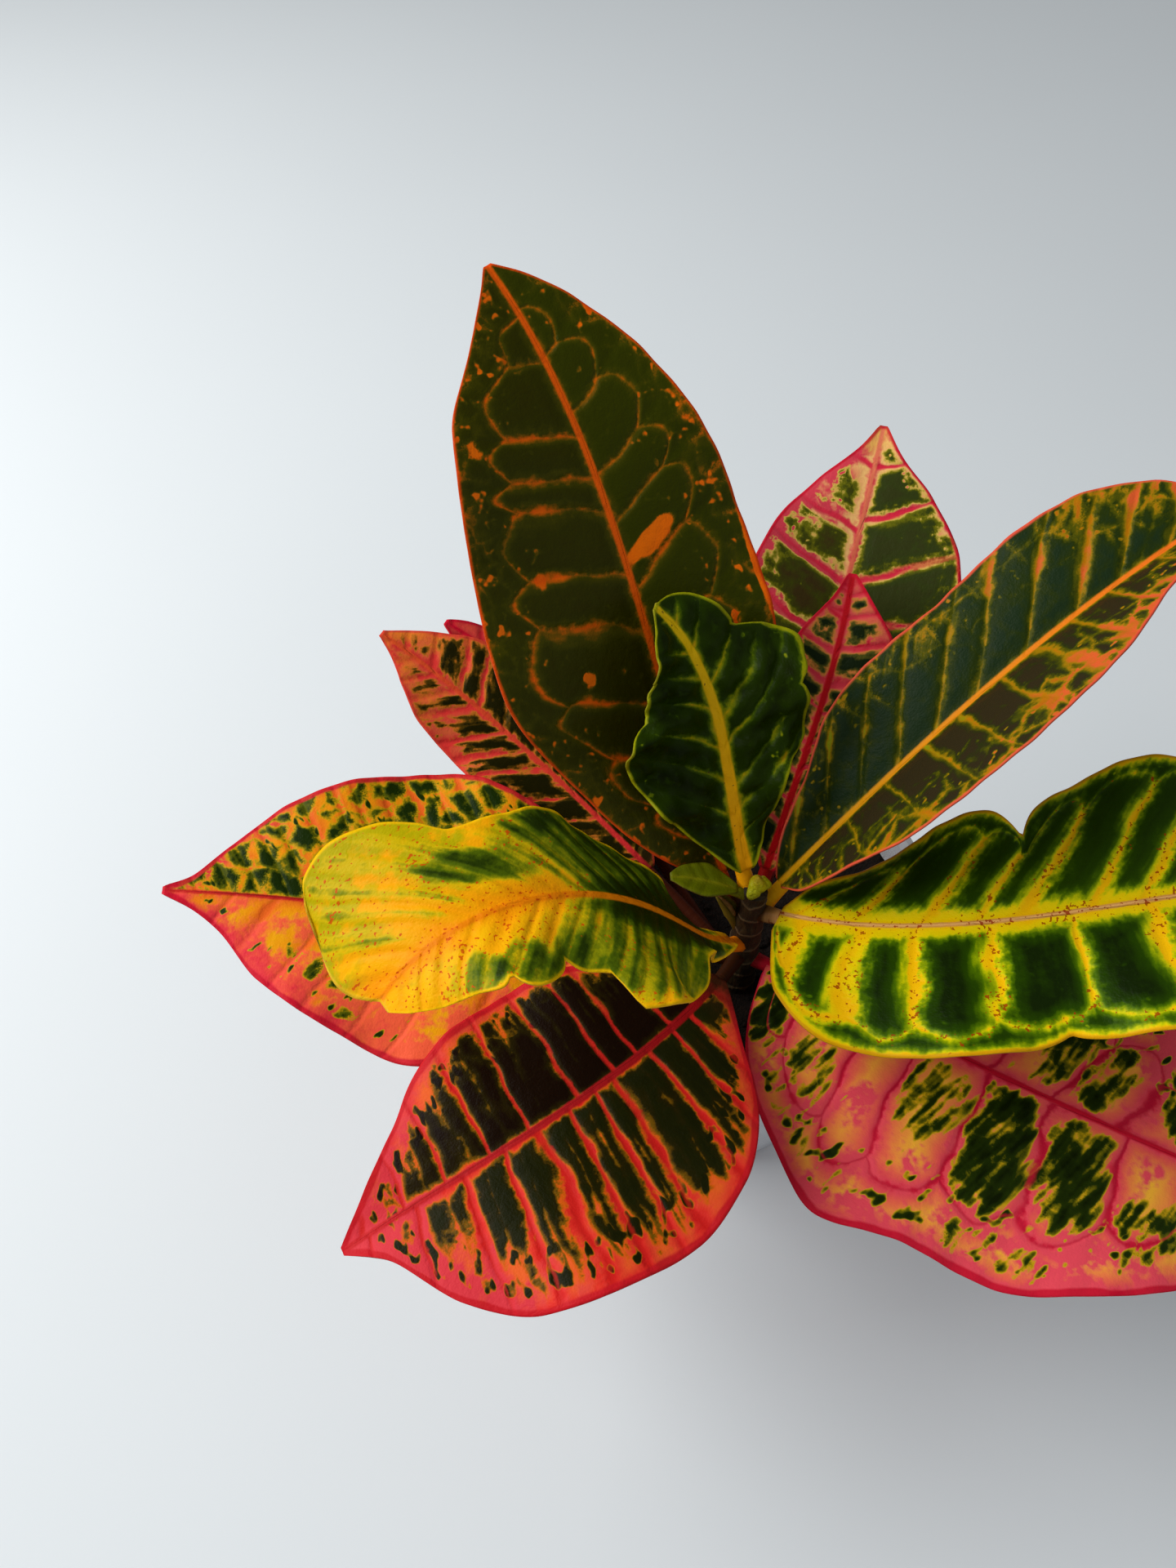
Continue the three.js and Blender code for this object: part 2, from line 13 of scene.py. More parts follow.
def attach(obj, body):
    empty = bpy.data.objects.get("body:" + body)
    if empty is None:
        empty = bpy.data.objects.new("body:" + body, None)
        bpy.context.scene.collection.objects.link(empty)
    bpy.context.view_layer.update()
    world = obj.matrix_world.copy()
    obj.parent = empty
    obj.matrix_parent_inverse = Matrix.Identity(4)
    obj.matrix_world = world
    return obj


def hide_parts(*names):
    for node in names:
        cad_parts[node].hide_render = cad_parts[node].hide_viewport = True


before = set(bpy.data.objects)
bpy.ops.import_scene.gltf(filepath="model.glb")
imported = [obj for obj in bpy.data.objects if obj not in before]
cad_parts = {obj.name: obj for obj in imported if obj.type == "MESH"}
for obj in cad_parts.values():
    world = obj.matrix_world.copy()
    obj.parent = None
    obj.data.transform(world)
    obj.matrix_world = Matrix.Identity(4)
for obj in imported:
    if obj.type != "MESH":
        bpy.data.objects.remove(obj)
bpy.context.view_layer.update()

# Sizes in millimetres, as in the CAD model. Meshes are scaled to metres when they are made.
MM = 0.001
POT_HEIGHT = 105
RIM_DEPTH = 3
WALL_TOP_RADIUS = 58.6
FOOT_RADIUS = 43
WALL_SLOPE = (WALL_TOP_RADIUS - FOOT_RADIUS) / (POT_HEIGHT - RIM_DEPTH)
WALL = 2.2
FLOOR = 4
SOIL_LEVEL = 93
STEM_AT = (2, -20)
STEM_FOOT = 60
SCARS_FROM = 96
SCAR_SPACING = 7
STEM_TOP = 142
STEM_RADIUS = 5.2
STEM_TIP_RADIUS = 3.3
MIDRIB_STEPS = 48
PETIOLE_RADIUS = 1.8
RIB_TIP_RADIUS = 0.35
NARROWEST = 0.8
LONGEST_LEAF = 160

# Sizes of the finer meshes: a leaf's grid and thickness, the raised midrib and the ruffled edge on its
# upper face, how far the round rib lies below the blade, how the stalk widens at its foot and over what
# length, and the space between soil and pot.
GRID = 0.8
BLADE = 0.45
MIDRIB_RISE = 0.25
RUFFLE = 0.35
RIB_SUNK = 0.35
STALK_FLARE = 0.9
FLARE_LENGTH = 6
SOIL_CLEARANCE = 0.3

# Halves of a leaf, seen from its stem to its tip.
LEFT = 1
RIGHT = -1
BOTH = 0

# Colours as they look, in percent of red, green and blue.
CREAM = (95, 72, 42)
CRIMSON = (66, 5, 7)
MAGENTA = (80, 8, 18)
RUST = (62, 18, 2)
# The stalk's own dark colour, which is also laid over the blade's base near the stem as painted shade.
STALK_AND_SHADE = (17, 10, 4)
UNDERSIDE = (42, 30, 20)


@dataclass
class Leaf:
    """A leaf's shape, as in the CAD model, and its markings, in millimetres and degrees.

    Islands are the dark fields between the veins, and everything else is ground. A gap is half the width
    of ground that a vein or the edge keeps free of islands. A rarity is the higher the fewer there are,
    and a zone is how far from the margin a marking reaches. "Both halves" are the left and the right.
    """
    name: str
    slot: str
    height: float  # where it starts on the stem
    azimuth: tuple  # at the stem, halfway and at the tip
    pitch: tuple  # at the same three places
    petiole: float  # length of the stalk
    length: float  # length of the blade
    outline: list  # percent of the length, half-widths of both halves
    laterals: tuple  # on both halves: stations where the side veins start, slant to the tip
    gaps: tuple  # laterals at the midrib, at the left and right margin, midrib at base and tip, edge
    ground: dict  # colours by the distance from the nearest vein or edge
    island: dict  # colours by the depth in an island
    roll: float = 0
    fold: tuple = (5, 5)  # of both halves
    notches: tuple = ()  # side, percent of the length, depth, reach in percent
    waves: tuple = ()  # side, size, count, phase
    sweep: tuple = (BOTH, 0, 1)  # side, reach and power with which a round far end lies further out
    patchy: tuple = (0.4, 1.5)  # least and most that gaps of laterals, strands and loop are multiplied by
    strands: tuple = None  # finer lines between two laterals: number, gap at midrib and margin
    loop: tuple = None  # a line that joins the laterals: depth, sway, gap on both halves
    cells: tuple = None  # a fine net near the margin: size, gap, zone
    spots: tuple = None  # dots of ground: size, rarity at the margin and inside, zone
    streaks: tuple = (2, 7, 0.3, 0.3)  # width, length, slant on both halves
    ragged: tuple = (0.9, 0.5, 0.9)  # how far streaks, spots and clouds of noise move the islands' edges
    level: float = 9  # depth beyond which an island is level, so that streaks can part it
    islets: tuple = None  # small islands near the margin: width, length, rarity, zone
    cover: tuple = (0, 0, 0)  # how much more ground shows at base, middle and tip
    side_cover: tuple = (0, 0)  # the same on both halves
    edge_cover: tuple = (0, 8)  # the same at the margin: amount, reach
    patches: tuple = ()  # ovals with less ground: station, way to the left, two radii, turn, strength
    rim: float = 0.5  # width over which ground turns into an island's first colour
    tint: tuple = None  # another colour inside the islands, its share on both halves
    washes: tuple = ()  # up to three tints of the ground: colour, share at the base, what it gains to
    # the tip, outwards on both halves and by chance, ovals with more of it
    vein: tuple = None  # the laterals: colour, half-width at midrib and margin
    midrib: tuple = (MAGENTA, MAGENTA, 0.7, 0.5)  # colours and then half-widths, at base and tip
    thread: tuple = None  # a line along either side of the midrib: colour, half-width
    margin: tuple = (MAGENTA, 1)  # colour, width
    specks: tuple = None  # colour, amount, size, how far from the veins
    stalk_shade_to: float = 2  # station where the stalk's dark colour ends, and with it the painted shade on the blade's base near the stem
    quilt: float = 0.6  # how high the blade bulges between the laterals
    crumple: float = 0  # how high it is crumpled


def evenly(first, spacing):
    """Stations of evenly spaced veins, as far as the longest leaf reaches."""
    return tuple(first + spacing * k for k in range(math.ceil(LONGEST_LEAF / spacing)))


LEAVES = [Leaf(
    "tall_left", "leaf_dark", height=122, azimuth=(131, 118, 134), pitch=(50, 50, 31), petiole=18,
    length=160, roll=-8, fold=(10, 10),
    outline=[(0, 2, 2), (6, 13, 12), (20, 27, 23), (42, 40, 31), (60, 37, 30), (80, 29, 22), (90, 16, 14),
             (96, 7, 7), (100, 1, 1)],
    waves=[(BOTH, 1.5, 3, 0.1)],
    laterals=(((9, 22, 36, 50, 68, 83, 97, 105, 117, 134, 148), 0.3),
              ((12, 28, 44, 62, 80, 94, 106, 121, 137, 149), 0.55)),
    gaps=(0.3, 0.9, 0.5, 1.2, 0.8, 0.4), patchy=(-1.4, 3.4), loop=(11, 2.5, 0.5, 0.2), cells=(6, 0.3, 11),
    spots=(2.8, 0.46, 1.2, 20), streaks=(1.5, 5, 0.3, 0.55), ragged=(0.3, 0.45, 0.35),
    patches=[(89, -8, 9, 3, -60, -6), (62, 18, 2.6, 2.2, 0, -5), (61, 9, 1.5, 1.3, 0, -3),
             (118, -9, 2.5, 1.2, -60, -2), (82, -33, 9, 2.5, -8, -4), (138, 12, 4, 1.4, -60, -2),
             (76, -31, 15, 2, 0, -5), (122, 26, 3, 2, 0, -3), (88, 22, 3, 1.2, 0, -2)],
    ground={0: (88, 33, 2), 2: (93, 42, 3), 5: (90, 42, 3)},
    island={-0.7: (78, 36, 2), -0.1: (48, 32, 2), 0.5: (26, 25, 1), 2: (20, 20, 0), 8: (19, 16.5, 0)},
    tint=((17, 21, 0), 0.1, 0.5), midrib=((86, 34, 3), (90, 36, 4), 0.8, 0.6), margin=((86, 27, 5), 0.5),
), Leaf(
    "crinkled", "leaf_green", height=139, azimuth=(130, 112, 170), pitch=(56, 55, 44), petiole=8, length=74,
    roll=-6, fold=(10, 16),
    outline=[(0, 2, 2), (10, 8, 6), (20, 14, 10), (32, 20, 13), (45, 25, 21), (57, 26, 22), (64, 24, 24),
             (69, 18, 26), (75, 17, 21), (80, 16, 14), (87, 14, 11), (93, 10, 9), (97, 5, 6), (100, 1, 1)],
    notches=[(LEFT, 66, 3, 1.5), (LEFT, 80, 3, 1.2), (RIGHT, 60, 2, 1.5), (RIGHT, 80, 2, 1.5)],
    waves=[(BOTH, 3, 3.5, 0.2), (LEFT, 1.2, 7, 0.1)],
    laterals=(((4, 14, 25, 34, 42, 52, 60, 68), 0.7), ((9, 17, 24, 33, 41, 50, 58, 66), 0.85)),
    gaps=(1.2, -1.5, -1.1, 2.6, 1.5, 0.3), patchy=(0.5, 1.6), spots=(2.2, 0.95, 1.3, 24),
    ragged=(0.3, 0.3, 0.5), patches=[(52, -23, 14, 4, 10, -1.6), (30, -13, 14, 2.5, -15, -1)],
    ground={0: (72, 58, 3), 2: (54, 56, 3)},
    island={-0.5: (50, 52, 2), 0: (26, 34, 1), 0.6: (13, 20, 0), 4: (8, 12, 0)},
    washes=[((46, 50, 3), -0.6, 0, 0.6, 1.4, 0.3)], midrib=((95, 64, 4), (88, 74, 5), 1.5, 0.8),
    margin=((58, 58, 4), 0.7), specks=((30, 24, 10), 0.1, 1.2, 60), stalk_shade_to=-6, quilt=1.4, crumple=0.9,
), Leaf(
    "folded_right", "leaf_dark", height=130, azimuth=(27, 29, 22), pitch=(50, 38, 22), petiole=12,
    length=140, roll=-8, fold=(15, 35),
    outline=[(0, 2, 2), (5, 8, 12), (15, 15, 20), (30, 24, 31), (50, 25, 34), (65, 26, 31), (80, 24, 18),
             (92, 17, 9), (100, 1, 1)],
    waves=[(LEFT, 1.5, 2.5, 0.3)],
    laterals=(((5, 15, 30, 41, 56, 66, 82, 96, 107, 121, 135), 1.05),
              ((8, 24, 38, 52, 60, 74, 84, 94, 106, 118, 130), 0.15)),
    gaps=(0.9, 1.4, 0.3, 1.3, 0.9, 0.5), patchy=(-0.8, 2.6), cells=(7, 0.7, 34), spots=(2.4, 0.55, 1.2, 22),
    streaks=(1.6, 5, 1, 0.1), ragged=(0.4, 0.4, 0.7), level=2.4, cover=(-0.3, 0, 0.3),
    side_cover=(-0.5, 0.2), patches=[(90, -22, 30, 9, 12, -0.9), (118, 14, 22, 9, 0, -0.6)],
    ground={0: (70, 44, 3), 3: (70, 38, 6)},
    island={-0.6: (60, 46, 3), 0: (32, 32, 2), 0.8: (15, 20, 3), 2.4: (11, 18, 9)},
    tint=((19, 15, 8), 0, 0.9),
    washes=[((85, 36, 17), -0.8, 1, 0.5, 1, 0.6), ((55, 55, 4), 1.7, -2.7, 0, -0.9, 0.5)],
    midrib=((86, 62, 4), (93, 40, 12), 0.9, 0.6), margin=((90, 33, 24), 0.6), stalk_shade_to=-8,
), Leaf(
    "lobed_right", "leaf_green", height=134, azimuth=(328, 360, 364), pitch=(18, 16, -4), petiole=8,
    length=137,
    outline=[(0, 2, 6), (5, 11, 24), (14, 17, 34), (30, 27, 36), (40, 31, 35), (55, 34, 33), (70, 37, 35),
             (85, 30, 28), (95, 14, 12), (100, 1, 1)],
    notches=[(LEFT, 46, 10, 3), (RIGHT, 46, 4, 4)], waves=[(LEFT, 2.5, 2.5, 0.4), (RIGHT, 2.5, 3.5, 0.1)],
    laterals=(((3, 16, 35, 47, 58, 72, 86, 100, 114), 0.85), ((6, 21, 33, 51, 70, 86, 102, 118), 0)),
    gaps=(1.9, 0.7, 0.8, 4.2, 2.8, 1.2), patchy=(0.6, 1.4), loop=(6, 2, -0.8, 0.4),
    spots=(2.4, 0.95, 1.7, 12), streaks=(1.5, 6, 0.9, 0), ragged=(0.6, 0.5, 0.8), level=5,
    cover=(0.3, 0, -0.2), side_cover=(0.2, 0.1), edge_cover=(0.6, 3), patches=[(10, -20, 18, 18, 0, -1.2)],
    ground={0: (98, 75, 2), 1.5: (95, 82, 2), 5: (86, 82, 2)},
    island={-0.6: (80, 79, 2), 0: (54, 62, 1), 0.8: (30, 43, 0), 2: (14, 25, 0), 5: (7, 13, 1)},
    tint=((16, 26, 0), 0.5, 0), midrib=(CREAM, CREAM, 0.45, 0.4), thread=(RUST, 0.2),
    margin=((84, 60, 3), 0.8), specks=(RUST, 0.64, 0.85, 4), stalk_shade_to=5, quilt=1.2,
), Leaf(
    "yellow_left", "leaf_yellow", height=118, azimuth=(230, 204, 220), pitch=(40, 50, -54), petiole=10,
    length=128,
    outline=[(0, 2, 2), (10, 6, 4), (24, 10, 9), (31, 13, 11), (37, 22, 13), (46, 27, 18), (55, 31, 21),
             (60, 30, 22), (62, 20, 22), (68, 18, 21), (76, 21, 22), (80, 19, 27), (85, 15, 31),
             (91, 12, 33), (96, 8, 31), (100, 3, 21)],
    notches=[(LEFT, 68, 4, 1.2), (LEFT, 79, 4, 1.2)], waves=[(LEFT, 3, 4, 0.1), (RIGHT, 2, 3, 0.3)],
    sweep=(RIGHT, 6, 8),
    laterals=((evenly(3, 6.5), 0.8), (evenly(3, 6.5), 0.9)), gaps=(1.2, 0.8, 0.4, 3.2, 2, 0.9),
    streaks=(1.6, 9, 0.8, 0.9), ragged=(1, 0.7, 1.3), level=2, cover=(5.5, 7, 7),
    patches=[(46, -13, 52, 24, 0, 8.6), (48, 14, 62, 22, 4, 7.4), (86, 15, 8, 7, 60, 1.8),
             (97, 15, 8, 7, 70, 4), (106, 12, 7, 6, 60, 6.6), (83, -20, 7, 8, -70, 3),
             (95, -11, 13, 5, -25, 4.3), (112, -17, 26, 18, -30, 4.8)],
    rim=1.2, ground={0: (97, 66, 2), 4: (95, 76, 2)},
    island={-1.2: (82, 70, 3), 0: (56, 56, 3), 1.4: (32, 40, 2), 3.2: (15, 22, 1), 6: (11, 15, 0)},
    washes=[((72, 66, 1), -1.3, 1.3, 0.2, 1.3, 0.8, (60, 14, 30, 14, 15, 1)),
            ((98, 56, 1), 0.5, 0.2, -1.6, -1.6, 0.3)],
    midrib=((92, 50, 2), (93, 52, 2), 1.3, 0.4), margin=((95, 74, 2), 0.6),
    specks=((80, 28, 2), 0.46, 0.8, 26), stalk_shade_to=-4,
), Leaf(
    "low_left", "leaf_orange", height=107, azimuth=(180, 175, 180), pitch=(10, 7, 4), petiole=25,
    length=134, roll=-12, fold=(4, 4),
    outline=[(0, 2, 2), (10, 18, 20), (30, 36, 37), (45, 41, 42), (60, 35, 38), (78, 23, 27), (88, 10, 14),
             (95, 4, 4), (100, 1, 1)],
    waves=[(BOTH, 2, 3, 0.2)],
    laterals=((evenly(4, 14), 0.55), (evenly(4, 8), 0.6)), gaps=(0.9, 1, 0.9, 1.8, 1.5, 2.6),
    cells=(8, 2.2, 110), streaks=(2.5, 6, 0.6, 0.6), ragged=(0.7, 0.5, 0.9), level=1.6,
    islets=(2.6, 4, 0.7, 14), cover=(0.2, -0.2, 0.2), side_cover=(3, -0.7),
    patches=[(90, 18, 14, 5, -30, 2.6), (84, 28, 10, 3, -20, 2.6)],
    ground={0: (93, 40, 12), 2.5: (96, 58, 6), 6: (96, 68, 5)},
    island={-0.5: (80, 62, 5), 0.1: (36, 38, 3), 0.9: (10, 17, 1)},
    washes=[((98, 38, 24), 0, 0.3, 0.9, -0.6, 0.9), ((90, 20, 25), -2, 2.2, 1.1, 0.8, 0.4)],
    midrib=(CRIMSON, (80, 16, 14), 0.5, 0.4), margin=(MAGENTA, 1.5),
), Leaf(
    "low_front_left", "leaf_crimson", height=113, azimuth=(240, 215, 209), pitch=(12, -2, -18), petiole=14,
    length=118,
    outline=[(0, 2, 2), (8, 13, 12), (20, 32, 25), (30, 41, 31), (42, 45, 34), (56, 43, 33), (70, 38, 29),
             (82, 26, 18), (92, 8, 8), (100, 1, 1)],
    waves=[(BOTH, 2, 3, 0.45)],
    laterals=(((4, 13, 22, 30, 40, 47, 55, 64, 73, 85, 97, 110), 0.12),
              ((8, 20, 31, 41, 52, 65, 78, 88, 100), -0.02)),
    gaps=(0.9, 2.3, 1.7, 1.9, 1.6, 3), patchy=(0.7, 1.4), strands=(2, -0.8, 0.5), cells=(6.5, 1.6, 13),
    streaks=(2.2, 9, 0.12, 0), ragged=(0.5, 0.4, 1.2), level=1.8, islets=(2.4, 5, 0.34, 13),
    cover=(-0.8, -0.4, 2.6), side_cover=(0.2, -0.7), edge_cover=(2.2, 8),
    ground={0: (82, 12, 11), 0.9: (88, 19, 15), 2.4: (91, 30, 17), 4: (92, 38, 14)},
    island={-0.5: (84, 37, 6), -0.1: (46, 32, 3), 0.5: (15, 12, 1), 2: (9, 4, 1)},
    tint=((10, 13, 1), 0.6, 0),
    washes=[((66, 7, 8), 0.7, -1.2, -0.8, -0.8, 0.3), ((86, 22, 26), -3, 4.4, 0.7, 0.4, 0.6),
            ((88, 29, 23), -1.1, 0, 1, 1.6, 0.7)],
    vein=((80, 13, 11), 0.5, 0.3), midrib=((52, 5, 6), (80, 14, 16), 1.1, 0.6), margin=((78, 10, 14), 1.8),
    stalk_shade_to=12,
), Leaf(
    "low_front_right", "leaf_pink", height=110, azimuth=(326, 331, 342), pitch=(8, 0, -10), petiole=8,
    length=150, fold=(0, -8),
    outline=[(0, 2, 4), (2, 7, 17), (6, 15, 29), (16, 32, 43), (27, 40, 53), (40, 43, 49), (53, 42, 48),
             (66, 36, 40), (78, 28, 29), (90, 13, 14), (96, 6, 6), (100, 1, 1)],
    waves=[(BOTH, 2, 3, 0.2)],
    laterals=((evenly(8, 17.5), 0.5), ((4, 14, 30, 44, 61, 80, 97, 115, 132), 0)),
    gaps=(1, 1.2, 1.4, 1.6, 1.4, 2.6), loop=(15, 3, 1, 1), cells=(6, 1.3, 22),
    streaks=(2.2, 9, 0.35, -0.35), ragged=(2.3, 0.5, 0.8), level=2.5, islets=(3.2, 4.5, 0.66, 17),
    cover=(6.5, 6.5, 6.5),
    patches=[(70, -17, 14, 25, 0, 5.8), (89, -14, 11, 23, 0, 5.2), (51, -13, 10, 16, 0, 4),
             (105, -22, 9, 11, 0, 5.2), (23, -26, 13, 18, 10, 4), (5, -14, 10, 12, 0, 7),
             (80, -42, 26, 7, 3, 4.2), (34, -42, 12, 7, 0, 4), (84, 16, 16, 16, 0, 5),
             (112, 14, 12, 16, 0, 5.2), (118, -14, 10, 18, 0, 4.8), (55, 20, 12, 18, 0, 4.4)],
    rim=0.7,
    ground={0: (84, 13, 23), 0.9: (92, 28, 34), 3: (96, 42, 31), 6: (98, 60, 26), 8.5: (99, 72, 22)},
    island={-0.7: (80, 64, 7), 0: (44, 42, 4), 0.8: (13, 19, 1), 3: (6, 10, 0)},
    washes=[((93, 30, 36), -0.45, 0.3, 1, 1.1, 1.1)], vein=((76, 8, 20), 0.4, 0.2),
    margin=((80, 6, 18), 1.7),
), Leaf(
    "back_left", "leaf_crimson", height=103, azimuth=(136, 140, 152), pitch=(16, 19, 23), petiole=36,
    length=104, roll=-12, fold=(4, 4),
    outline=[(0, 2, 2), (15, 14, 14), (35, 19, 20), (60, 17, 18), (75, 15, 17), (85, 10, 12), (94, 4, 6),
             (100, 1, 1)],
    waves=[(BOTH, 1.5, 2.5, 0.2)],
    laterals=(((4, 13, 21, 30, 41, 50, 58, 68, 76, 84, 92), 0.8), (evenly(4, 9), 0.6)),
    gaps=(0.8, 1.3, 1, 1.1, 0.9, 1.4), cells=(5, 0.8, 10), streaks=(1.8, 5, 0.8, 0.6),
    ragged=(1.1, 0.5, 0.9), level=2, cover=(-0.6, 0.3, 2), side_cover=(0.1, -0.3),
    ground={0: (88, 22, 20), 1.5: (90, 36, 24), 4: (90, 46, 22)},
    island={-0.5: (80, 46, 14), 0.1: (34, 25, 4), 0.9: (12, 11, 1)},
    washes=[((94, 50, 16), -1.3, 1.9, 0.2, 0.2, 0.5)], midrib=((84, 16, 20), (90, 34, 16), 0.7, 0.5),
    margin=((86, 26, 20), 0.8), stalk_shade_to=8,
), Leaf(
    "back_left_low", "leaf_pink", height=98, azimuth=(126, 127, 156), pitch=(11, 18, 18), petiole=40,
    length=98, fold=(4, 4),
    outline=[(0, 2, 2), (15, 12, 12), (40, 18, 18), (65, 16, 16), (85, 9, 9), (95, 4, 4), (100, 1, 1)],
    waves=[(BOTH, 2, 3, 0.2)],
    laterals=((evenly(2, 9), 0.6), (evenly(4, 9), 0.6)), gaps=(0.8, 1.2, 1.2, 1.1, 0.9, 1.4),
    cells=(5, 0.9, 8), cover=(-0.4, 0.4, 2.2), ground={0: (78, 14, 18), 1.5: (86, 28, 24), 4: (88, 40, 20)},
    island={-0.4: (74, 40, 12), 0.2: (30, 22, 4), 1: (11, 10, 2)}, stalk_shade_to=10,
), Leaf(
    "back_right", "leaf_pink", height=108, azimuth=(66, 72, 74), pitch=(44, 38, 26), petiole=30, length=120,
    outline=[(0, 2, 2), (15, 16, 16), (35, 24, 27), (55, 27, 31), (72, 23, 27), (85, 14, 17), (94, 5, 6),
             (100, 1, 1)],
    waves=[(BOTH, 1.5, 3, 0.2)],
    laterals=((evenly(10, 16), 0.5), (evenly(12, 16), 0.42)), gaps=(1.9, 1.8, 0.5, 1.6, 1.4, 1.5),
    cells=(6, 0.7, 12), spots=(2.6, 0.7, 1.3, 18), ragged=(0.7, 0.6, 0.9), cover=(-0.6, -0.3, 2.2),
    side_cover=(0.8, -0.5), ground={0: (82, 18, 26), 0.6: (90, 42, 36), 1.3: (97, 76, 46), 4: (90, 46, 36)},
    island={-0.6: (88, 74, 34), 0: (46, 46, 7), 0.9: (26, 28, 5), 3: (26, 20, 8)},
    tint=((18, 24, 9), 0.1, 0.7),
    washes=[((86, 26, 32), 0.5, -0.8, 1.7, 0.3, 0.9), ((94, 74, 36), -7.4, 8.2, 0, 0, 0.4)],
    vein=((86, 16, 26), 0.7, 0.4), midrib=(MAGENTA, (92, 50, 36), 0.6, 0.45),
), Leaf(
    "back_right_upper", "leaf_crimson", height=118, azimuth=(70, 66, 80), pitch=(54, 46, 36), petiole=20,
    length=80,
    outline=[(0, 2, 2), (15, 8, 9), (40, 14, 18), (65, 14, 18), (80, 10, 14), (92, 4, 6), (100, 1, 1)],
    waves=[(BOTH, 1.5, 3, 0.4)],
    laterals=((evenly(4, 8), 0.4), (evenly(4, 8), 0.25)), gaps=(0.8, 1.2, 1.6, 1.3, 1.1, 1.3),
    cells=(5, 0.7, 9), cover=(-0.5, 0.3, 1.6), ground={0: (80, 12, 20), 1: (86, 30, 30), 3: (86, 50, 28)},
    island={-0.5: (80, 50, 22), 0.1: (32, 32, 10), 1: (8, 13, 4)}, vein=((84, 22, 28), 0.35, 0.2),
    midrib=(CRIMSON, (74, 8, 12), 0.9, 0.6),
), Leaf(
    "small", "leaf_young", height=140, azimuth=(180, 174, 184), pitch=(26, 15, 10), petiole=5, length=18,
    fold=(12, 12),
    outline=[(0, 1, 1), (20, 3, 3), (50, 5, 5), (80, 3.5, 3.5), (100, 1, 1)],
    laterals=((evenly(2, 4.5), 0.6), (evenly(2, 4.5), 0.6)), gaps=(-0.8, -1, -1, 0.4, 0.3, 0.3),
    ragged=(0.1, 0.1, 0.2), ground={0: (44, 44, 3), 1: (38, 40, 3)},
    island={-0.3: (38, 40, 2), 1.4: (33, 36, 1)}, midrib=((44, 44, 4), (44, 44, 4), 0.3, 0.2),
    margin=((34, 36, 3), 0.3), quilt=0.04,
), Leaf(
    "rolled", "leaf_young", height=120, azimuth=(176, 176, 176), pitch=(66, 62, 66), petiole=10, length=10,
    fold=(60, 60),
    outline=[(0, 1, 1), (30, 2.4, 2.4), (70, 2, 2), (100, 1, 1)],
    laterals=((evenly(2, 2.5), 0.6), (evenly(2, 2.5), 0.6)), gaps=(0.1, 0, 0, 0.4, 0.3, 0.2),
    ragged=(0.1, 0.1, 0.2), ground={0: (42, 36, 8), 1: (38, 34, 6)},
    island={-0.3: (36, 32, 6), 0.8: (28, 26, 4)}, midrib=((46, 40, 12), (46, 40, 12), 0.3, 0.2),
    margin=((38, 24, 8), 0.3), quilt=0.05,
)]


# Colours and nodes

def linear(colour):
    """A colour in percent as it looks, turned into the linear values that shaders use."""
    shares = [c / 100 for c in colour]
    values = [c / 12.92 if c <= 0.04045 else ((c + 0.055) / 1.055) ** 2.4 for c in shares]
    return (*values, 1)


class Value:
    """What a node of a material gives. Sums, differences and products of values are nodes themselves."""

    def __init__(self, nodes, socket):
        self.nodes = nodes
        self.socket = socket

    def __add__(self, other):
        return self.nodes.math("ADD", self, other)

    def __sub__(self, other):
        return self.nodes.math("SUBTRACT", self, other)

    def __mul__(self, other):
        return self.nodes.math("MULTIPLY", self, other)

    def __abs__(self):
        return self.nodes.math("ABSOLUTE", self)


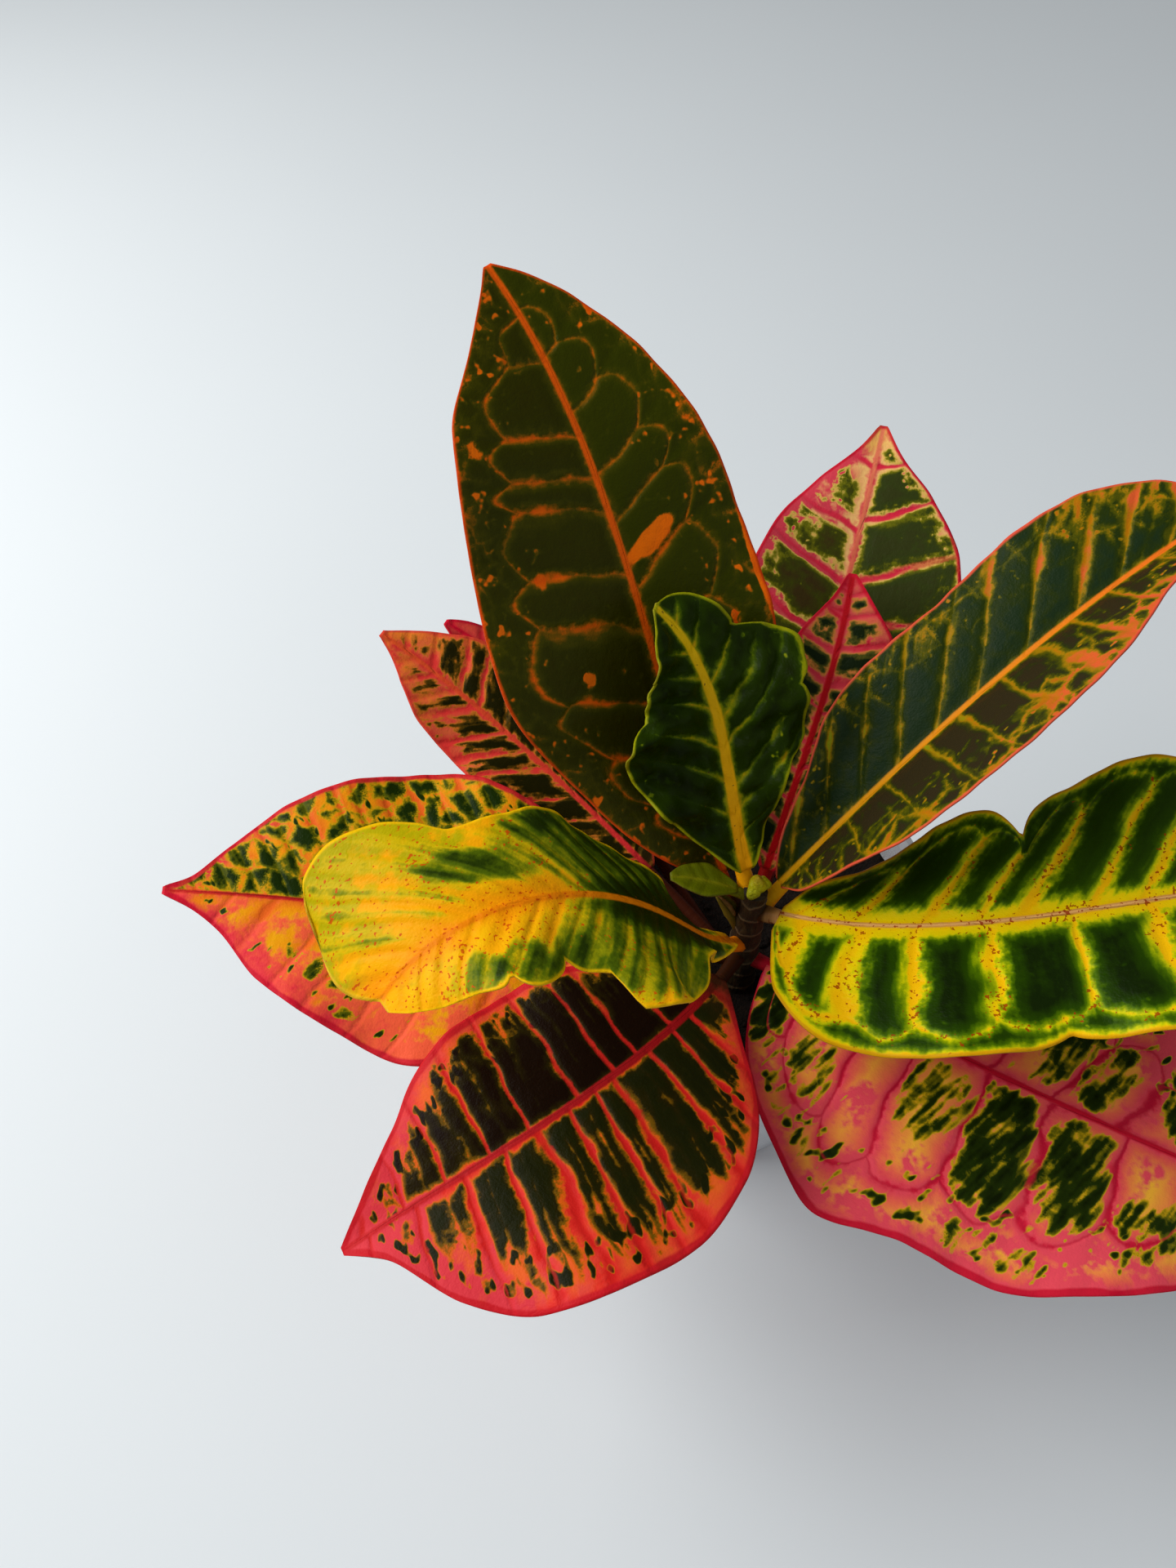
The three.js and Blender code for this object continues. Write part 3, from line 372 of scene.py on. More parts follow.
class Nodes:
    """A material's node tree. What is given to a node is a number, a colour or another node's value."""

    def __init__(self, name):
        self.material = bpy.data.materials.new(name)
        self.material.use_nodes = True
        self.tree = self.material.node_tree
        self.shader = self.tree.nodes["Principled BSDF"]

    def feed(self, socket, value):
        if isinstance(value, Value):
            self.tree.links.new(value.socket, socket)
        elif isinstance(value, tuple):
            socket.default_value = linear(value)
        else:
            socket.default_value = value

    def new(self, kind, *values, **settings):
        """All values of a new node, whose settings and first inputs are given."""
        node = self.tree.nodes.new("ShaderNode" + kind)
        for name, setting in settings.items():
            setattr(node, name, setting)
        for socket, value in zip(node.inputs, values):
            self.feed(socket, value)
        return [Value(self, socket) for socket in node.outputs]

    def attribute(self, name):
        """The three parts of a vector that the mesh has at each point."""
        _, vector, _, _ = self.new("Attribute", attribute_name=name)
        return self.split(vector)

    def place(self):
        """Where a point is, in metres."""
        _, _, _, place, *_ = self.new("TexCoord")
        return place

    def split(self, vector):
        return self.new("SeparateXYZ", vector)

    def join(self, x, y, z):
        return self.new("CombineXYZ", x, y, z)[0]

    def math(self, operation, a, b=0, c=0):
        return self.new("Math", a, b, c, operation=operation)[0]

    def least(self, first, *others, rounding=0):
        """The smallest of several values, with the corners between them rounded."""
        for other in others:
            first = self.math("SMOOTH_MIN", first, other, rounding)
        return first

    def remap(self, value, low, high, to_low=0, to_high=1, smooth=False):
        """A value from low to high, turned into one from to_low to to_high and no further."""
        way = "SMOOTHSTEP" if smooth else "LINEAR"
        return self.new("MapRange", value, low, high, to_low, to_high, interpolation_type=way)[0]

    def noise(self, vector, size, detail=2, roughness=0.5):
        """Noise from -1 to 1, size being the width of its features in the vector's unit."""
        return self.remap(self.new("TexNoise", vector, 0, 1 / size, detail, roughness)[0], 0.25, 0.75, -1, 1)

    def net(self, vector, size):
        """Distance to the walls of a net of cells of a size."""
        return self.new("TexVoronoi", vector, 0, 1 / size, feature="DISTANCE_TO_EDGE")[0] * size

    def mix(self, share, a, b):
        """Two colours mixed. The node has its colours at inputs 6 and 7 and at output 2."""
        node = self.tree.nodes.new("ShaderNodeMix")
        node.data_type = "RGBA"
        for index, value in ((0, share), (6, a), (7, b)):
            self.feed(node.inputs[index], value)
        return Value(self, node.outputs[2])

    def ramp(self, value, stops):
        """Colours along a value from 0 to 1."""
        node = self.tree.nodes.new("ShaderNodeValToRGB")
        self.feed(node.inputs[0], value)
        elements = node.color_ramp.elements
        while len(elements) < len(stops):
            elements.new(0.5)
        for element, (position, colour) in zip(elements, stops.items()):
            element.position = position
            element.color = linear(colour)
        return Value(self, node.outputs[0])

    def ramp_over(self, value, stops):
        """Colours along a distance in millimetres."""
        low, high = min(stops), max(stops)
        shares = {(mm - low) / (high - low): colour for mm, colour in stops.items()}
        return self.ramp(self.remap(value, low, high), shares)

    def bump(self, height, depth):
        """Height runs from 0 to 1 and depth is what it stands for, in millimetres."""
        node = self.tree.nodes.new("ShaderNodeBump")
        self.feed(node.inputs["Height"], height)
        node.inputs["Distance"].default_value = depth * MM
        self.tree.links.new(node.outputs[0], self.shader.inputs["Normal"])

    def finish(self, colour, roughness, **settings):
        self.feed(self.shader.inputs["Base Color"], colour)
        self.feed(self.shader.inputs["Roughness"], roughness)
        for name, value in settings.items():
            self.shader.inputs[name.replace("_", " ")].default_value = value
        return self.material


# Objects and meshes

def add_object(name, data):
    thing = bpy.data.objects.new(name, data)
    bpy.context.scene.collection.objects.link(thing)
    return thing


def make_piece(name, points, faces, material, attributes=None):
    """A smooth mesh from points in millimetres, which rides on the plant's one body."""
    mesh = bpy.data.meshes.new(name)
    mesh.from_pydata((np.asarray(points) * MM).tolist(), [], faces)
    mesh.polygons.foreach_set("use_smooth", [True] * len(mesh.polygons))
    for key, values in (attributes or {}).items():
        layer = mesh.attributes.new(key, "FLOAT_VECTOR", "POINT")
        layer.data.foreach_set("vector", np.asarray(values, np.float32).ravel())
    mesh.materials.append(material)
    piece = add_object(name, mesh)
    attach(piece, "root")
    return piece


def grid_faces(rows, columns, first=0, flip=False, closed=False):
    """Quads of a grid of points, row by row. A closed grid joins its last column to its first."""
    index = np.arange(rows * columns).reshape(rows, columns) + first
    if closed:
        index = np.hstack([index, index[:, :1]])
    corners = [index[:-1, :-1], index[:-1, 1:], index[1:, 1:], index[1:, :-1]]
    if flip:
        corners.reverse()
    return np.stack(corners, -1).reshape(-1, 4).tolist()


def tube_faces(rows, columns, first=0, flip=False):
    """Faces of a tube of rings, with both its ends closed."""
    last = first + (rows - 1) * columns
    ends = [list(range(first, first + columns))[::-1], list(range(last, last + columns))]
    if flip:
        ends = [end[::-1] for end in ends]
    return grid_faces(rows, columns, first, flip, closed=True) + ends


def around(columns):
    """Evenly spaced angles of a full turn."""
    return np.linspace(0, 2 * np.pi, columns, endpoint=False)


def turned(x, y, angle):
    """Points turned about the origin, by an angle in radians."""
    c, s = math.cos(angle), math.sin(angle)
    return x * c - y * s, x * s + y * c


def vectors(x, y, z):
    """Three grids of numbers, or numbers that stay the same, as one grid of vectors."""
    return np.stack(np.broadcast_arrays(x, y, z), -1)


# Leaf shape, as in the CAD model

def through(values, s):
    """Curve through three values at 0, a half and 1."""
    start, middle, end = values
    return start * (1 - s) * (1 - 2 * s) + middle * 4 * s * (1 - s) + end * s * (2 * s - 1)


def of_side(side, left, right):
    return left if side == LEFT else right


def directions(leaf, g):
    """The midrib's way at shares g of its length, petiole included."""
    azimuth = np.radians(through(leaf.azimuth, g))
    pitch = np.radians(through(leaf.pitch, g))
    return vectors(np.cos(pitch) * np.cos(azimuth), np.cos(pitch) * np.sin(azimuth), np.sin(pitch))


def frames(leaf, g):
    """Place, way to the left and way up at shares g of the midrib, petiole included."""
    stations = np.linspace(0, 1, MIDRIB_STEPS + 1)
    ways = directions(leaf, stations)
    steps = ways[:-1] + ways[1:]
    steps *= (leaf.petiole + leaf.length) / MIDRIB_STEPS / np.linalg.norm(steps, axis=1, keepdims=True)
    line = np.vstack([[0, 0, 0], np.cumsum(steps, axis=0)]) + [*STEM_AT, leaf.height]
    place = vectors(*(np.interp(g, stations, row) for row in line.T))
    azimuth = np.radians(through(leaf.azimuth, g))
    left = vectors(-np.sin(azimuth), np.cos(azimuth), 0)
    return place, left, np.cross(directions(leaf, g), left)


def half_width(leaf, s, side):
    """Half-width of the blade at stations s: a smooth cubic through the outline's rows, less the notches."""
    rows = np.array(leaf.outline, float)
    at, width = rows[:, 0] / 100, rows[:, of_side(side, 1, 2)]
    slope = np.diff(width) / np.diff(at)
    before, after = slope[:-1], slope[1:]
    rising = before * after > 0
    inner = np.where(rising, 2 * before * after / np.where(rising, before + after, 1), 0)
    tangent = np.concatenate([slope[:1], inner, slope[-1:]])
    i = np.clip(np.searchsorted(at, s, side="left") - 1, 0, len(at) - 2)
    reach = at[i + 1] - at[i]
    u = np.clip((s - at[i]) / reach, 0, 1)
    result = (2 * u**3 - 3 * u**2 + 1) * width[i] + (u**3 - 2 * u**2 + u) * reach * tangent[i]
    result += (3 * u**2 - 2 * u**3) * width[i + 1] + (u**3 - u**2) * reach * tangent[i + 1]
    for where, station, depth, extent in leaf.notches:
        if where == side:
            result -= depth * np.exp(-np.abs(s - station / 100) / (extent / 100))
    return np.maximum(result, NARROWEST)


def wave_lift(leaf, s, share, side):
    """How far the leaf's waves lift a point, more towards the edge."""
    lift = 0 * s * share
    for where, size, count, phase in leaf.waves:
        if where in (BOTH, side):
            swing = np.sin(2 * np.pi * (count * s + phase)) * np.sqrt(np.sin(np.pi * np.clip(s, 0, 1)))
            lift = lift + size * share**2 * swing
    return lift


def sweep_forward(leaf, s, share, side):
    """How far a leaf's sweep carries a point of the blade forward."""
    where, reach, power = leaf.sweep
    return reach * s**power * np.sin(np.pi * share) * (where == side)


# Finer leaves: what the mesh needs for its relief, and what the material needs to know at each point

def lateral_count(leaf, x, y, side):
    """Counts the lateral veins along the leaf, a whole number on each, and gives the way between two.

    Two slow waves make the veins a little unsteady, and the count goes on beyond both ends of the leaf.
    """
    beyond = 9
    stations, slant = of_side(side, *leaf.laterals)
    run = x - slant * np.abs(y)
    run = run + 0.9 * np.sin(0.21 * run + 2 * side) + 0.6 * np.sin(0.47 * run + stations[0])
    before = stations[0] - (stations[1] - stations[0]) * np.arange(beyond, 0, -1)
    after = stations[-1] + (stations[-1] - stations[-2]) * np.arange(1, beyond + 1)
    knots = np.concatenate([before, stations, after])
    count = np.interp(run, knots, np.arange(len(knots)))
    spacing = np.diff(knots)[np.clip(count.astype(int), 0, len(knots) - 2)]
    return count, spacing * math.cos(math.atan(slant))


def relief(leaf, s, x, y, share, side):
    """What the close surface adds to the broad form, except at the blade's two ends.

    The blade bulges between the veins and is crumpled by crossing waves, which both begin beside the
    midrib. The edge is ruffled, and the midrib is raised.
    """
    count, _ = lateral_count(leaf, x, y, side)
    bulge = np.sqrt(np.abs(np.sin(np.pi * count))) * np.clip(np.abs(y) / 5, 0, 1) * (1 - share**4)
    crumple = np.sin(0.52 * x + 0.30 * y + side) * np.sin(0.36 * y - 0.21 * x + 2 * side)
    crumple = crumple + 0.5 * np.sin(0.95 * x - 0.6 * y) * np.sin(0.8 * y + 0.3 * x)
    beside = np.clip(np.abs(y) / 3, 0, 1)
    ruffle = RUFFLE * share**6 * np.sin(x * 0.55 + 3 * side + leaf.height) * np.sin(x * 0.17 + side)
    midrib = MIDRIB_RISE * np.exp(-(y / 0.9) ** 2)
    fade = np.clip(np.sin(np.pi * np.clip(s, 0, 1)), 0, 1) ** 0.5
    return fade * (leaf.quilt * (bulge - 0.5) * beside + leaf.crumple * crumple * beside + ruffle + midrib)


def patches_at(patches, x, y):
    """Sum of oval patches: each is full in its middle and fades out towards its rim."""
    total = 0 * x
    for at_x, at_y, length, width, turn, strength in patches:
        u, v = turned(x - at_x, y - at_y, -math.radians(turn))
        total = total + strength * np.clip(1.5 * (1 - (u / length)**2 - (v / width)**2), 0, 1)
    return total


def cover_at(leaf, s, x, y, side, edge):
    """How much more of the ground shows than usual, in millimetres."""
    amount, reach = leaf.edge_cover
    cover = through(leaf.cover, s) + of_side(side, *leaf.side_cover)
    return cover + amount * np.exp(-edge / reach) - patches_at(leaf.patches, x, y)


def washes_at(leaf, s, x, y, share, side):
    """How strongly each of up to three washes tints the ground, before chance is added."""
    amounts = [0 * x, 0 * x, 0 * x]
    for k, (_, base, along, to_left, to_right, _, *patches) in enumerate(leaf.washes):
        amounts[k] = base + along * s + of_side(side, to_left, to_right) * share + patches_at(patches, x, y)
    return np.stack(amounts, -1)


def blade_grid(leaf):
    """Points of the blade's upper face, and the vectors spot, vein, tone and wash of each."""
    rows = max(round(leaf.length / GRID), 12)
    columns = max(round(max(max(row[1:]) for row in leaf.outline) / GRID), 6)
    s = np.linspace(0, 1, rows + 1)[:, None]
    share = np.linspace(0, 1, columns + 1)[None, :]
    g = (leaf.petiole + s[:, 0] * leaf.length) / (leaf.petiole + leaf.length)
    place, left, up = (v[:, None, :] for v in frames(leaf, g))
    ahead = directions(leaf, g)[:, None, :]
    x = s * leaf.length + 0 * share
    halves = []
    for side in (LEFT, RIGHT):
        width = half_width(leaf, s, side)
        reach = width * share
        edge = np.minimum(width - reach, leaf.length * (1 - s))
        y = side * reach
        fold = math.radians(of_side(side, *leaf.fold))
        across = y * math.cos(fold)
        lift = reach * math.sin(fold) + wave_lift(leaf, s, share, side)
        lift = lift + relief(leaf, s, x, y, share, side)
        aside, rise = turned(across, lift, math.radians(leaf.roll))
        forward = sweep_forward(leaf, s, share, side)
        points = place + left * aside[..., None] + up * rise[..., None] + ahead * forward[..., None]
        count, spacing = lateral_count(leaf, x, y, side)
        halves.append([points, vectors(x, y, edge), vectors(count, share, s),
                       vectors(cover_at(leaf, s, x, y, side, edge), 0, spacing),
                       washes_at(leaf, s, x, y, share, side)])
    return [np.concatenate([one[:, ::-1], other[:, 1:]], axis=1) for one, other in zip(*halves)]


def rib_tube(leaf):
    """The petiole and the rib under the blade: one round tube from the stem to the leaf's tip.

    Its vectors let it take the midrib's colour: it lies near the midrib, far from the edge and halfway
    between two laterals, and so much ground covers it that it has no islands.
    """
    far, cover, spacing = 9, 30, 5
    end = 0.985
    total = leaf.petiole + leaf.length
    g = np.linspace(0, end, max(round(total / 2), 12))
    place, left, up = frames(leaf, g)
    inside = np.clip((g * total - leaf.petiole) / leaf.length, 0, 1)
    start = min(PETIOLE_RADIUS, leaf.outline[0][1])
    radius = start + (RIB_TIP_RADIUS - start) * inside**0.7 + STALK_FLARE * np.exp(-g * total / FLARE_LENGTH)
    turn = around(10)
    middle = place - up * (radius * 0.9 + np.where(inside > 0, RIB_SUNK, 0))[:, None]
    ring = left[:, None] * (radius[:, None] * np.cos(turn))[..., None]
    ring = ring + up[:, None] * (radius[:, None] * np.sin(turn))[..., None]
    x = (g * total - leaf.petiole)[:, None] + 0 * turn
    s = np.clip(x / leaf.length, 0, 1)
    return [middle[:, None] + ring, vectors(x, 0.4 * np.sin(turn), far), vectors(0.5, 0, s),
            vectors(cover, 0 * x, spacing), washes_at(leaf, s, x, 0 * x, 0 * x, LEFT)]


def build_leaf(leaf):
    """One closed blade from an upper and a lower face, with the tube of its rib and petiole."""
    upper, spot, vein, tone, wash = blade_grid(leaf)
    rows, columns = upper.shape[:2]
    normal = np.cross(np.gradient(upper, axis=0), np.gradient(upper, axis=1))
    normal /= np.maximum(np.linalg.norm(normal, axis=-1, keepdims=True), 1e-9)
    if (normal * frames(leaf, np.array([0.5]))[2]).sum() < 0:
        normal = -normal
    under = tone.copy()
    under[..., 1] = 1
    lower = [upper - normal * BLADE, spot, vein, under, wash]
    tube = rib_tube(leaf)
    parts = zip([upper, spot, vein, tone, wash], lower, tube)
    points, *values = [np.concatenate([part.reshape(-1, 3) for part in three]) for three in parts]

    count = rows * columns
    faces = grid_faces(rows, columns) + grid_faces(rows, columns, first=count, flip=True)
    index = np.arange(count).reshape(rows, columns)
    rim = [*index[:, 0], *index[-1, 1:], *index[-2::-1, -1], *index[0, -2:0:-1]]
    faces += [[a, b, b + count, a + count] for a, b in zip(rim, rim[1:] + rim[:1])]
    faces += tube_faces(*tube[0].shape[:2], first=2 * count)

    attributes = dict(zip(("spot", "vein", "tone", "wash"), values))
    piece = make_piece(leaf.name + "_leaf", points, faces, leaf_material(leaf), attributes)
    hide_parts("leaf_" + leaf.name)


# Leaf material

class LeafNodes(Nodes):
    """A leaf's material, with its mesh's vectors and with noises that unsettle the markings."""

    def __init__(self, leaf):
        super().__init__(leaf.name + "_blade")
        self.x, self.y, self.edge = self.attribute("spot")
        self.count, self.share, self.s = self.attribute("vein")
        self.cover, self.under, self.spacing = self.attribute("tone")
        self.away = abs(self.y)
        self.spot = self.join(self.x, self.y, leaf.height)
        self.broad = self.noise(self.spot, 9)
        self.small = self.noise(self.spot, 1.7)
        self.fine = self.noise(self.spot, 0.5)

    def by_side(self, left, right):
        """One number on the left and one on the right half, blended at the midrib."""
        return self.remap(self.y, -0.5, 0.5, right, left)

    def to_whole(self, count, spacing):
        """Distance to the nearest whole count, where one count is the spacing in millimetres."""
        return abs(self.math("FRACT", count + 0.5) - 0.5) * spacing

    def streaks(self, across, along, slant_left, slant_right, seed):
        """Noise drawn out into streaks, which slant towards the tip."""
        run = self.x - self.away * self.by_side(slant_left, slant_right)
        return self.noise(self.join(run, self.away * (across / along), seed), across, 1)


def veins_and_gaps(n, leaf):
    """Distance to the nearest drawn vein, and to whatever parts the islands, less the gaps beside it."""
    unsteady = n.count + n.noise(n.spot, 14, 1) * 0.1 + n.small * 0.018
    patchy = n.remap(n.broad, -1, 1, *leaf.patchy)
    near, far_left, far_right, at_base, at_tip, at_edge = leaf.gaps
    gap = n.remap(n.share, 0, 1, near, n.by_side(far_left, far_right))
    veins = n.to_whole(unsteady, n.spacing)
    laterals = veins - gap * patchy
    from_edge = n.edge + n.broad * 3
    parts = []
    if leaf.loop:
        depth, sway, gap_left, gap_right = leaf.loop
        beyond = abs(n.math("SINE", unsteady * math.pi)) * (-2 * sway) + (depth + sway) - n.edge
        laterals = n.math("MAXIMUM", laterals, beyond)
        loop = abs(beyond)
        veins = n.least(n.math("MAXIMUM", veins, beyond), loop)
        parts.append(loop - patchy * n.by_side(gap_left, gap_right))
    if leaf.strands:
        number, near, far = leaf.strands
        strand = n.to_whole(unsteady * number, n.spacing * (1 / number))
        parts.append(strand - n.remap(n.share, 0, 1, near, far) * patchy)
    if leaf.cells:
        size, gap, zone = leaf.cells
        shift = n.join(n.fine * 0.5, n.broad * 1.5, 0)
        net = n.net(n.new("VectorMath", n.spot, shift, operation="ADD")[0], size)
        parts.append(net - n.remap(from_edge, 0, zone, gap, gap - 3))
    if leaf.spots:
        size, outside, inner, zone = leaf.spots
        rarity = n.remap(from_edge, 0, zone, outside, inner)
        parts.append((rarity - n.noise(n.spot, size, 1)) * (size * 2))
    parts.append(n.away - n.remap(n.s, 0, 1, at_base, at_tip))
    parts.append(n.edge - at_edge)
    return veins, n.least(laterals, *parts, rounding=0.7)


def depth_in_island(n, leaf, nearest):
    """How deep in an island a point is, in millimetres, and below 0 on the ground."""
    *_, slant_left, slant_right = leaf.streaks
    streak, spot, cloud = leaf.ragged
    grain = n.fine * 0.12
    level = n.least(nearest, leaf.level, rounding=1)
    streaks = n.streaks(*leaf.streaks, leaf.height)
    depth = level + streaks * streak + n.small * spot + n.broad * cloud + grain - n.cover
    if leaf.islets:
        across, along, rarity, zone = leaf.islets
        rare = n.remap(n.edge, zone, zone + 6, rarity, 1.2) + n.remap(n.edge, 2.5, 5, 1, 0)
        islets = n.streaks(across, along, slant_left, slant_right, leaf.height + 9) - rare
        depth = n.math("MAXIMUM", depth, islets * (across * 2) + grain)
    return depth


def ground(n, leaf, veins):
    """Colours that run from the veins and the edge outwards, tinted by the washes."""
    way_off = n.least(veins, n.away, n.edge, rounding=2) + n.broad * 1.2 + n.small * 0.5
    colour = n.ramp_over(way_off, leaf.ground)
    chances = n.broad + n.small * 0.4
    for (tone, _, _, _, _, chance, *_), amount in zip(leaf.washes, n.attribute("wash")):
        colour = n.mix(n.remap(amount + chances * chance, 0.2, 0.8), colour, tone)
    return colour


def with_islands(n, leaf, colour, depth):
    """The ground with the islands on it, in which a tint may show."""
    shade = n.ramp_over(depth, leaf.island)
    if leaf.tint:
        tone, to_left, to_right = leaf.tint
        inside = n.remap(depth + n.broad * 0.4, 0.2, 1.4)
        shade = n.mix(inside * n.by_side(to_left, to_right), shade, tone)
    first = min(leaf.island)
    return n.mix(n.remap(depth, first - leaf.rim, first), colour, shade)


def leaf_material(leaf):
    """Ground and islands, then veins, midrib, specks and margin on top, and a duller underside."""
    n = LeafNodes(leaf)
    veins, nearest = veins_and_gaps(n, leaf)
    depth = depth_in_island(n, leaf, nearest)
    colour = with_islands(n, leaf, ground(n, leaf, veins), depth)
    if leaf.vein:
        tone, near, far = leaf.vein
        width = n.remap(n.share, 0, 1, near, far) + n.small * 0.1
        strength = n.remap(veins - width, -0.15, 0.4, 0.9, 0) * n.remap(n.share, 0.3, 1, 1, 0.4)
        colour = n.mix(strength, colour, tone)
    base_tone, tip_tone, base, tip = leaf.midrib
    width = n.remap(n.s, 0, 1, base, tip) + n.small * 0.1
    strength = n.remap(n.away - width, -0.15, 0.35, 1, 0)
    colour = n.mix(strength, colour, n.mix(n.s, base_tone, tip_tone))
    if leaf.thread:
        tone, thread = leaf.thread
        strength = n.remap(abs(n.away - width), 0, thread * 2, 0.7, 0) * n.remap(n.broad, -1, 1, 0.2, 1)
        colour = n.mix(strength, colour, tone)
    if leaf.specks:
        tone, amount, size, reach = leaf.specks
        close = n.remap(n.least(n.away, veins), 0, reach, amount, 0) - n.remap(depth, 0, 1.5, 0, 0.5)
        grains = n.noise(n.join(n.x, n.y, leaf.height + 5), size, 1) + close + n.broad * 0.4
        colour = n.mix(n.remap(grains, 1.05, 1.2, 0, 0.85), colour, tone)
    tone, margin = leaf.margin
    width = (n.broad * 0.35 + 1) * margin
    colour = n.mix(n.remap(n.edge - width, -0.3, 0.3, 0.9, 0), colour, tone)
    # The stalk's dark colour, carried past the petiole onto the blade's base as painted shade near the stem.
    colour = n.mix(n.remap(n.x + n.small, leaf.stalk_shade_to - 10, leaf.stalk_shade_to, 0.96, 0), colour, STALK_AND_SHADE)
    colour = n.mix(n.under, colour, n.mix(0.45, colour, UNDERSIDE))

    # The veins lie a little deeper than the skin between them, which has a grain.
    skin = n.remap(veins, 0, 1.6, smooth=True) * 0.5 + n.small * 0.12 + n.fine * 0.06
    n.bump(skin + n.remap(depth, -0.5, 1) * 0.15, 0.35)
    roughness = n.fine * 0.03 + n.broad * 0.03 + n.under * 0.2 + 0.38
    return n.finish(colour, roughness, Specular_IOR_Level=0.045)


# Soil

def inside_radius(z):
    """Radius of the pot's inner wall at a height above the floor."""
    return FOOT_RADIUS + WALL_SLOPE * z - WALL


def soil_height(x, y):
    """Height of the soil's top, with broad swells, lumps and crumbs."""
    swells, lumps, crumbs = (noise.noise(Vector((x / size, y / size, seed)))
                             for size, seed in ((14, 3.1), (4, 7.7), (1.6, 1.3)))
    return SOIL_LEVEL - 0.5 + 1.3 * swells + 0.9 * lumps + 0.5 * crumbs


def soil_material():
    n = Nodes("potting_soil")
    place = n.place()
    clods = n.noise(place, 3 * MM, 4, 0.7)
    grit = n.noise(place, 0.7 * MM, 3, 0.7)
    colour = n.ramp(clods * 0.3 + grit * 0.25 + 0.45, {
        0: (4, 2, 1), 0.5: (11, 7, 4), 0.85: (20, 13, 8), 1: (40, 31, 22),
    })
    n.bump(grit * 0.3 + clods * 0.4, 1.2)
    return n.finish(colour, grit * 0.05 + 0.9, Specular_IOR_Level=0.25)


def build_soil():
    """Fills the pot: a rough top, straight sides a little inside the wall, and a flat bottom.

    A ring is a radius and a height, and a ring of the top has none, because it follows soil_height.
    """
    rows, columns = 62, 180
    middle = 0.6
    bottom = FLOOR + SOIL_CLEARANCE
    reach = inside_radius(SOIL_LEVEL) - SOIL_CLEARANCE
    top = [(radius, None) for radius in np.linspace(middle, reach, rows)]
    sides = [(inside_radius(z) - SOIL_CLEARANCE, z) for z in (70, 40, bottom)]
    rings = top + sides + [(middle, bottom)]
    points = []
    for radius, z in rings:
        for angle in around(columns):
            x, y = radius * math.cos(angle), radius * math.sin(angle)
            points.append((x, y, soil_height(x, y) if z is None else z))
    piece = make_piece("soil_fill", points, tube_faces(len(rings), columns, flip=True), soil_material())
    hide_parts("soil")


def build_crumbs():
    """Loose crumbs and bits of bark that lie on the soil."""
    number, reach = 260, 52
    draw = random.Random(7)
    ball = bmesh.new()
    bmesh.ops.create_icosphere(ball, subdivisions=2, radius=1)
    ball.verts.index_update()
    base = np.array([v.co for v in ball.verts])
    triangles = [[v.index for v in face.verts] for face in ball.faces]
    ball.free()
    points, faces = [], []
    for k in range(number):
        angle, radius = draw.uniform(0, 2 * math.pi), reach * math.sqrt(draw.random())
        x, y = radius * math.cos(angle), radius * math.sin(angle)
        size = draw.uniform(0.5, 1.7)
        stretch = np.array([draw.uniform(0.8, 1.7), draw.uniform(0.7, 1.1), draw.uniform(0.4, 0.8)]) * size
        turn = draw.uniform(0, math.pi)
        shift = Vector((draw.uniform(0, 50), draw.uniform(0, 50), 0))
        rough = np.array([1 + 0.35 * noise.noise(Vector(p) * 1.6 + shift) for p in base])
        long, wide, high = (base * rough[:, None] * stretch).T
        points.append(vectors(*turned(long, wide, turn), high) + [x, y, soil_height(x, y) + 0.2 * size])
        faces += [[corner + k * len(base) for corner in triangle] for triangle in triangles]
    piece = make_piece("soil_crumbs", np.concatenate(points), faces, soil_material())


# Stem and bud

def stem_material():
    """Brown bark with fibres and blots, and a pale ring at each leaf scar."""
    n = Nodes("stem_bark")
    x, y, z = (part * (1 / MM) for part in n.split(n.place()))
    fibres = n.noise(n.join(x, y, z * 0.25), 0.8, 3, 0.6)
    blots = n.noise(n.join(x, y, z), 3.5)
    ring = n.math("FRACT", (z + blots * 0.8 - SCARS_FROM) * (1 / SCAR_SPACING))
    scar = n.remap(abs(ring - 0.5), 0.4, 0.48)
    colour = n.ramp(fibres * 0.25 + blots * 0.2 + 0.5, {0: (8, 5, 3), 0.5: (15, 11, 5), 1: (27, 21, 11)})
    colour = n.mix(scar * 0.7, colour, (40, 33, 22))
    n.bump(fibres * 0.3 + scar * 0.4, 0.4)
    return n.finish(colour, fibres * 0.06 + 0.62, Specular_IOR_Level=0.2)


def build_stem():
    """The stem, whose radius tapers above the soil, with a raised ring at each leaf scar."""
    columns = 48
    taper = (STEM_RADIUS - STEM_TIP_RADIUS) / (STEM_TOP - SCARS_FROM)
    heights = np.arange(STEM_FOOT, STEM_TOP + 0.1, 0.6)
    points = []
    for z in heights:
        above = max(0, z - SCARS_FROM)
        scar = 0.35 * abs(math.sin(math.pi * above / SCAR_SPACING)) ** 0.4 - 0.35
        for angle in around(columns):
            x, y = math.cos(angle), math.sin(angle)
            lump = noise.noise(Vector((x * 1.4, y * 1.4, z / 5)))
            radius = STEM_RADIUS - taper * above - scar * 0.6 - 0.25 + 0.25 * lump
            points.append((STEM_AT[0] + radius * x, STEM_AT[1] + radius * y, z))
    piece = make_piece("stem_wood", points, tube_faces(len(heights), columns), stem_material())
    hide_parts("stem")


